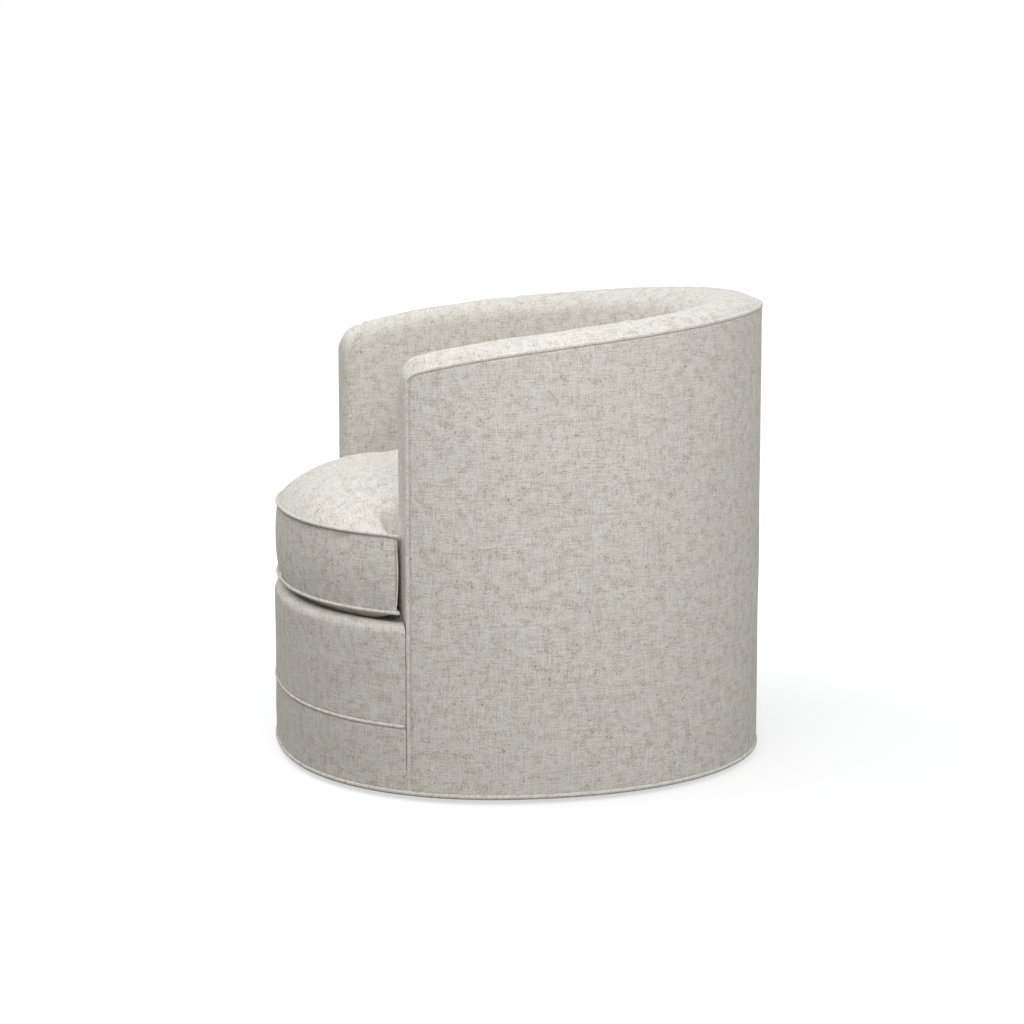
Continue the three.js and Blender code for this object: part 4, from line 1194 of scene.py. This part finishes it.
# Puckers along the seams, and a pinch with folds where the cushion passes the arms' corners
def pullSeams(piece, outline):
    points = meshPoints(piece.data)
    run = lengthAlong(outline)
    nearest = nearestOn(points[:, :2], outline)
    inside = np.maximum(0, distanceInside(points[:, :2], outline))
    about = run[nearest]
    onTop = smooth(topSeam + 0.001, topSeam + 0.004, points[:, 2])
    points[:, 2] += onTop * gathers(about, inside, cushion["gatherDepth"], 51)
    toSeam = np.minimum(np.abs(points[:, 2] - topSeam), np.abs(points[:, 2] - lowSeam))
    onSide = (points[:, 2] > lowSeam) & (points[:, 2] < topSeam) & (inside < 0.01)
    pucker = gathers(about, toSeam, cushion["gatherDepth"], 53)
    pucker = onSide * smooth(*sewing["gatherBand"], toSeam) * pucker
    slow = swell(about, points[:, 2], 0.09, cushion["boxingSwell"], 55)
    slow = onSide * smooth(0.004, 0.03, toSeam) * slow
    points[:, :2] += (pucker + slow)[:, None] * outwardOf(outline)[nearest]
    corner = outlineAt(cushionPlan, angleAtDepth(cushionPlan, cushionEarY))
    for side in (1, -1):
        away = points[:, :2] - corner * np.array([side, 1])
        far = np.linalg.norm(away, axis=1)
        turn = np.arctan2(away[:, 1], away[:, 0])
        folds = cushion["foldDepth"] * np.cos(7 * turn + side) * smooth(0.005, 0.014, far)
        points[:, 2] += onTop * folds * np.exp(-((far / cushion["foldReach"]) ** 2))
    points[:, 2] -= smooth(lowSeam, topSeam, points[:, 2]) * pinchAt(points)
    corner, away = earCorner()
    for side in (1, -1):
        turned = np.array([side, 1])
        short = np.linalg.norm(points[:, :2] - corner * turned, axis=1)
        push = cushion["earCornerPush"] * np.clip(1 - short / cushion["earCornerReach"], 0, 1) ** 2
        points[:, :2] += push[:, None] * away * turned
    drawInAtZip(points)
    setPoints(piece.data, points)


# Cloth coordinates: flat on the top and bottom, round the side on the boxing
def laySeams(piece, outline):
    points = meshPoints(piece.data)
    run = lengthAlong(np.concatenate([outline, outline[:1]]))
    mesh = piece.data
    corners = np.empty(len(mesh.loops), int)
    mesh.loops.foreach_get("vertex_index", corners)
    starts = np.array([p.loop_start for p in mesh.polygons])
    sizes = np.array([p.loop_total for p in mesh.polygons])
    centres = np.add.reduceat(points[corners], starts) / sizes[:, None]
    onSide = (centres[:, 2] > lowSeam) & (centres[:, 2] < topSeam)
    side = np.repeat(onSide, sizes)
    about = run[nearestOn(points[:, :2], outline)][corners]
    first = np.repeat(about[starts], sizes)
    about = np.where(about - first > run[-1] / 2, about - run[-1], about)
    about = np.where(first - about > run[-1] / 2, about + run[-1], about)
    sideWeave = np.stack([about, points[corners, 2]], -1)
    weave = np.where(side[:, None], sideWeave, points[corners, :2])
    layer = mesh.uv_layers.new(name="weave")
    layer.data.foreach_set("uv", weave.ravel())


def makeCushion():
    outline = cushionOutline(cushion["seamInset"])
    piece = cushionBlock(outline, lowSeam, topSeam)
    blown = blownHeight(outline, 0.008)
    before, inside = shapeCushion(piece, outline, blown)
    simulateCushion(piece, before, inside)
    fine = piece.modifiers.new("fine", "SUBSURF")
    fine.levels = 1
    fine.render_levels = 1
    applyModifiers(piece)
    pullSeams(piece, outline)
    laySeams(piece, outline)
    piece.data.shade_smooth()
    upholster(piece, "cushion", linenCloth, "cushion_cover", "cushion_filling", fill=0.75)


def makeCushionWelts():
    for name, node, height, seed in (
        ("cushionTopWelt", "cushion_top_welt", topSeam, 41),
        ("cushionLowWelt", "cushion_bottom_welt", lowSeam, 43),
    ):
        flat = cushionOutline(cushion["weltInset"], cushion["weltEarBack"])
        path = lift(flat, height - pinchAt(flat) * (height == topSeam))
        piece = cordMesh(name, path, cushion["weltRadius"], upFrom(path), True, seed)
        upholster(piece, "cushion", linenBias, node, fill=piping["fill"])


# The boxing's upright seams at the ears' corners
def makeEarSeams():
    corner, away = earCorner()
    shares = np.linspace(0, 1, 30)
    flat = corner + (boxingFullness(shares) - cushion["earSeamSink"])[:, None] * away
    path = lift(flat, lowSeam + (topSeam - lowSeam) * shares)
    for name, side in (("cushionEarSeamLeft", 1), ("cushionEarSeamRight", -1)):
        line = path * np.array([side, 1, 1])
        facing = np.tile([float(side), 1, 0], (len(line), 1))
        piece = cordMesh(name, line, cushion["earSeamRadius"], facing, False, 47)
        upholster(piece, "cushion", linenBias, "cushion_cover", fill=piping["fill"])


makeCushion()
makeCushionWelts()
makeEarSeams()
print("cushion ready")


# Finishes of the frame, springs and swivel
def makeWood(name, pale, dark, ringScale, plies=False):
    material, tree, shader = newMaterial(name, 0.62)
    place = objectPlace(tree)
    along = mapped(tree, place, (ringScale * 4, ringScale, ringScale * 4))
    rings = noiseOn(tree, along, 3.0, 6.0, 0.6)
    colour = tinted(tree, ranged(tree, rings, 0.35, 0.68), pale, dark)
    if plies:
        sockets = {"Vector": place, "Scale": 95.0, "Distortion": 0.6, "Detail": 1.0}
        layers = addNode(tree, "ShaderNodeTexWave", sockets, bands_direction="Z").outputs["Fac"]
        up = addNode(tree, "ShaderNodeNewGeometry").outputs["Normal"]
        upright = addNode(tree, "ShaderNodeSeparateXYZ", {0: up}).outputs["Z"]
        edge = calculated(tree, "SUBTRACT", 1.0, calculated(tree, "ABSOLUTE", upright))
        share = times(tree, edge, ranged(tree, layers, 0.35, 0.65, 0, 0.55))
        colour = tinted(tree, share, colour, dark)
    paint(tree, shader, colour)
    roughen(tree, shader, rings, 0.25, 0.0006)
    return material


def makeMetal(name, colour, roughness):
    material, tree, shader = newMaterial(name, roughness, metallic=1.0)
    place = objectPlace(tree)
    cloudy = noiseOn(tree, place, 60.0, 4.0)
    darker = tuple(c * 0.72 for c in colour[:3]) + (1,)
    paint(tree, shader, tinted(tree, cloudy, darker, colour))
    worn = ranged(tree, cloudy, 0.3, 0.7, roughness - 0.08, roughness + 0.1)
    tree.links.new(worn, shader.inputs["Roughness"])
    return material


def makeNylon(name, colour):
    material, tree, shader = newMaterial(name, 0.5)
    place = objectPlace(tree)
    grain = noiseOn(tree, place, 900.0, 2.0)
    lighter = tuple(min(1, c * 1.5) for c in colour[:3]) + (1,)
    paint(tree, shader, tinted(tree, grain, colour, lighter))
    roughen(tree, shader, grain, 0.2, 0.0003)
    return material


finishes = {
    "hardwood": makeWood("hardwood", (0.52, 0.36, 0.20, 1), (0.36, 0.22, 0.11, 1), 6.0),
    "plywood": makeWood("plywood", (0.60, 0.44, 0.26, 1), (0.40, 0.26, 0.14, 1), 5.0, plies=True),
    "steel": makeMetal("steel", (0.46, 0.47, 0.49, 1), 0.38),
    "springWire": makeMetal("springWire", (0.30, 0.30, 0.31, 1), 0.45),
    "blackNylon": makeNylon("blackNylon", (0.020, 0.020, 0.022, 1)),
    "zipTape": makeNylon("zipTape", (0.42, 0.40, 0.35, 1)),
}
finishOfNode = [
    (("base_disc", "bottom_board"), "plywood"),
    (("post", "rail", "stiffener"), "hardwood"),
    (("seat_spring",), "springWire"),
    (("glide",), "blackNylon"),
    (("cushion_zipper",), "zipTape"),
    (("plate", "bolt", "pin", "cage", "clip", "slider"), "steel"),
]


def finishCadNodes():
    for name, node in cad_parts.items():
        if node.hide_render:
            continue
        look = next((finish for words, finish in finishOfNode if any(w in name for w in words)), "steel")
        node.data.materials.clear()
        node.data.materials.append(finishes[look])


finishCadNodes()
print("finishes ready")
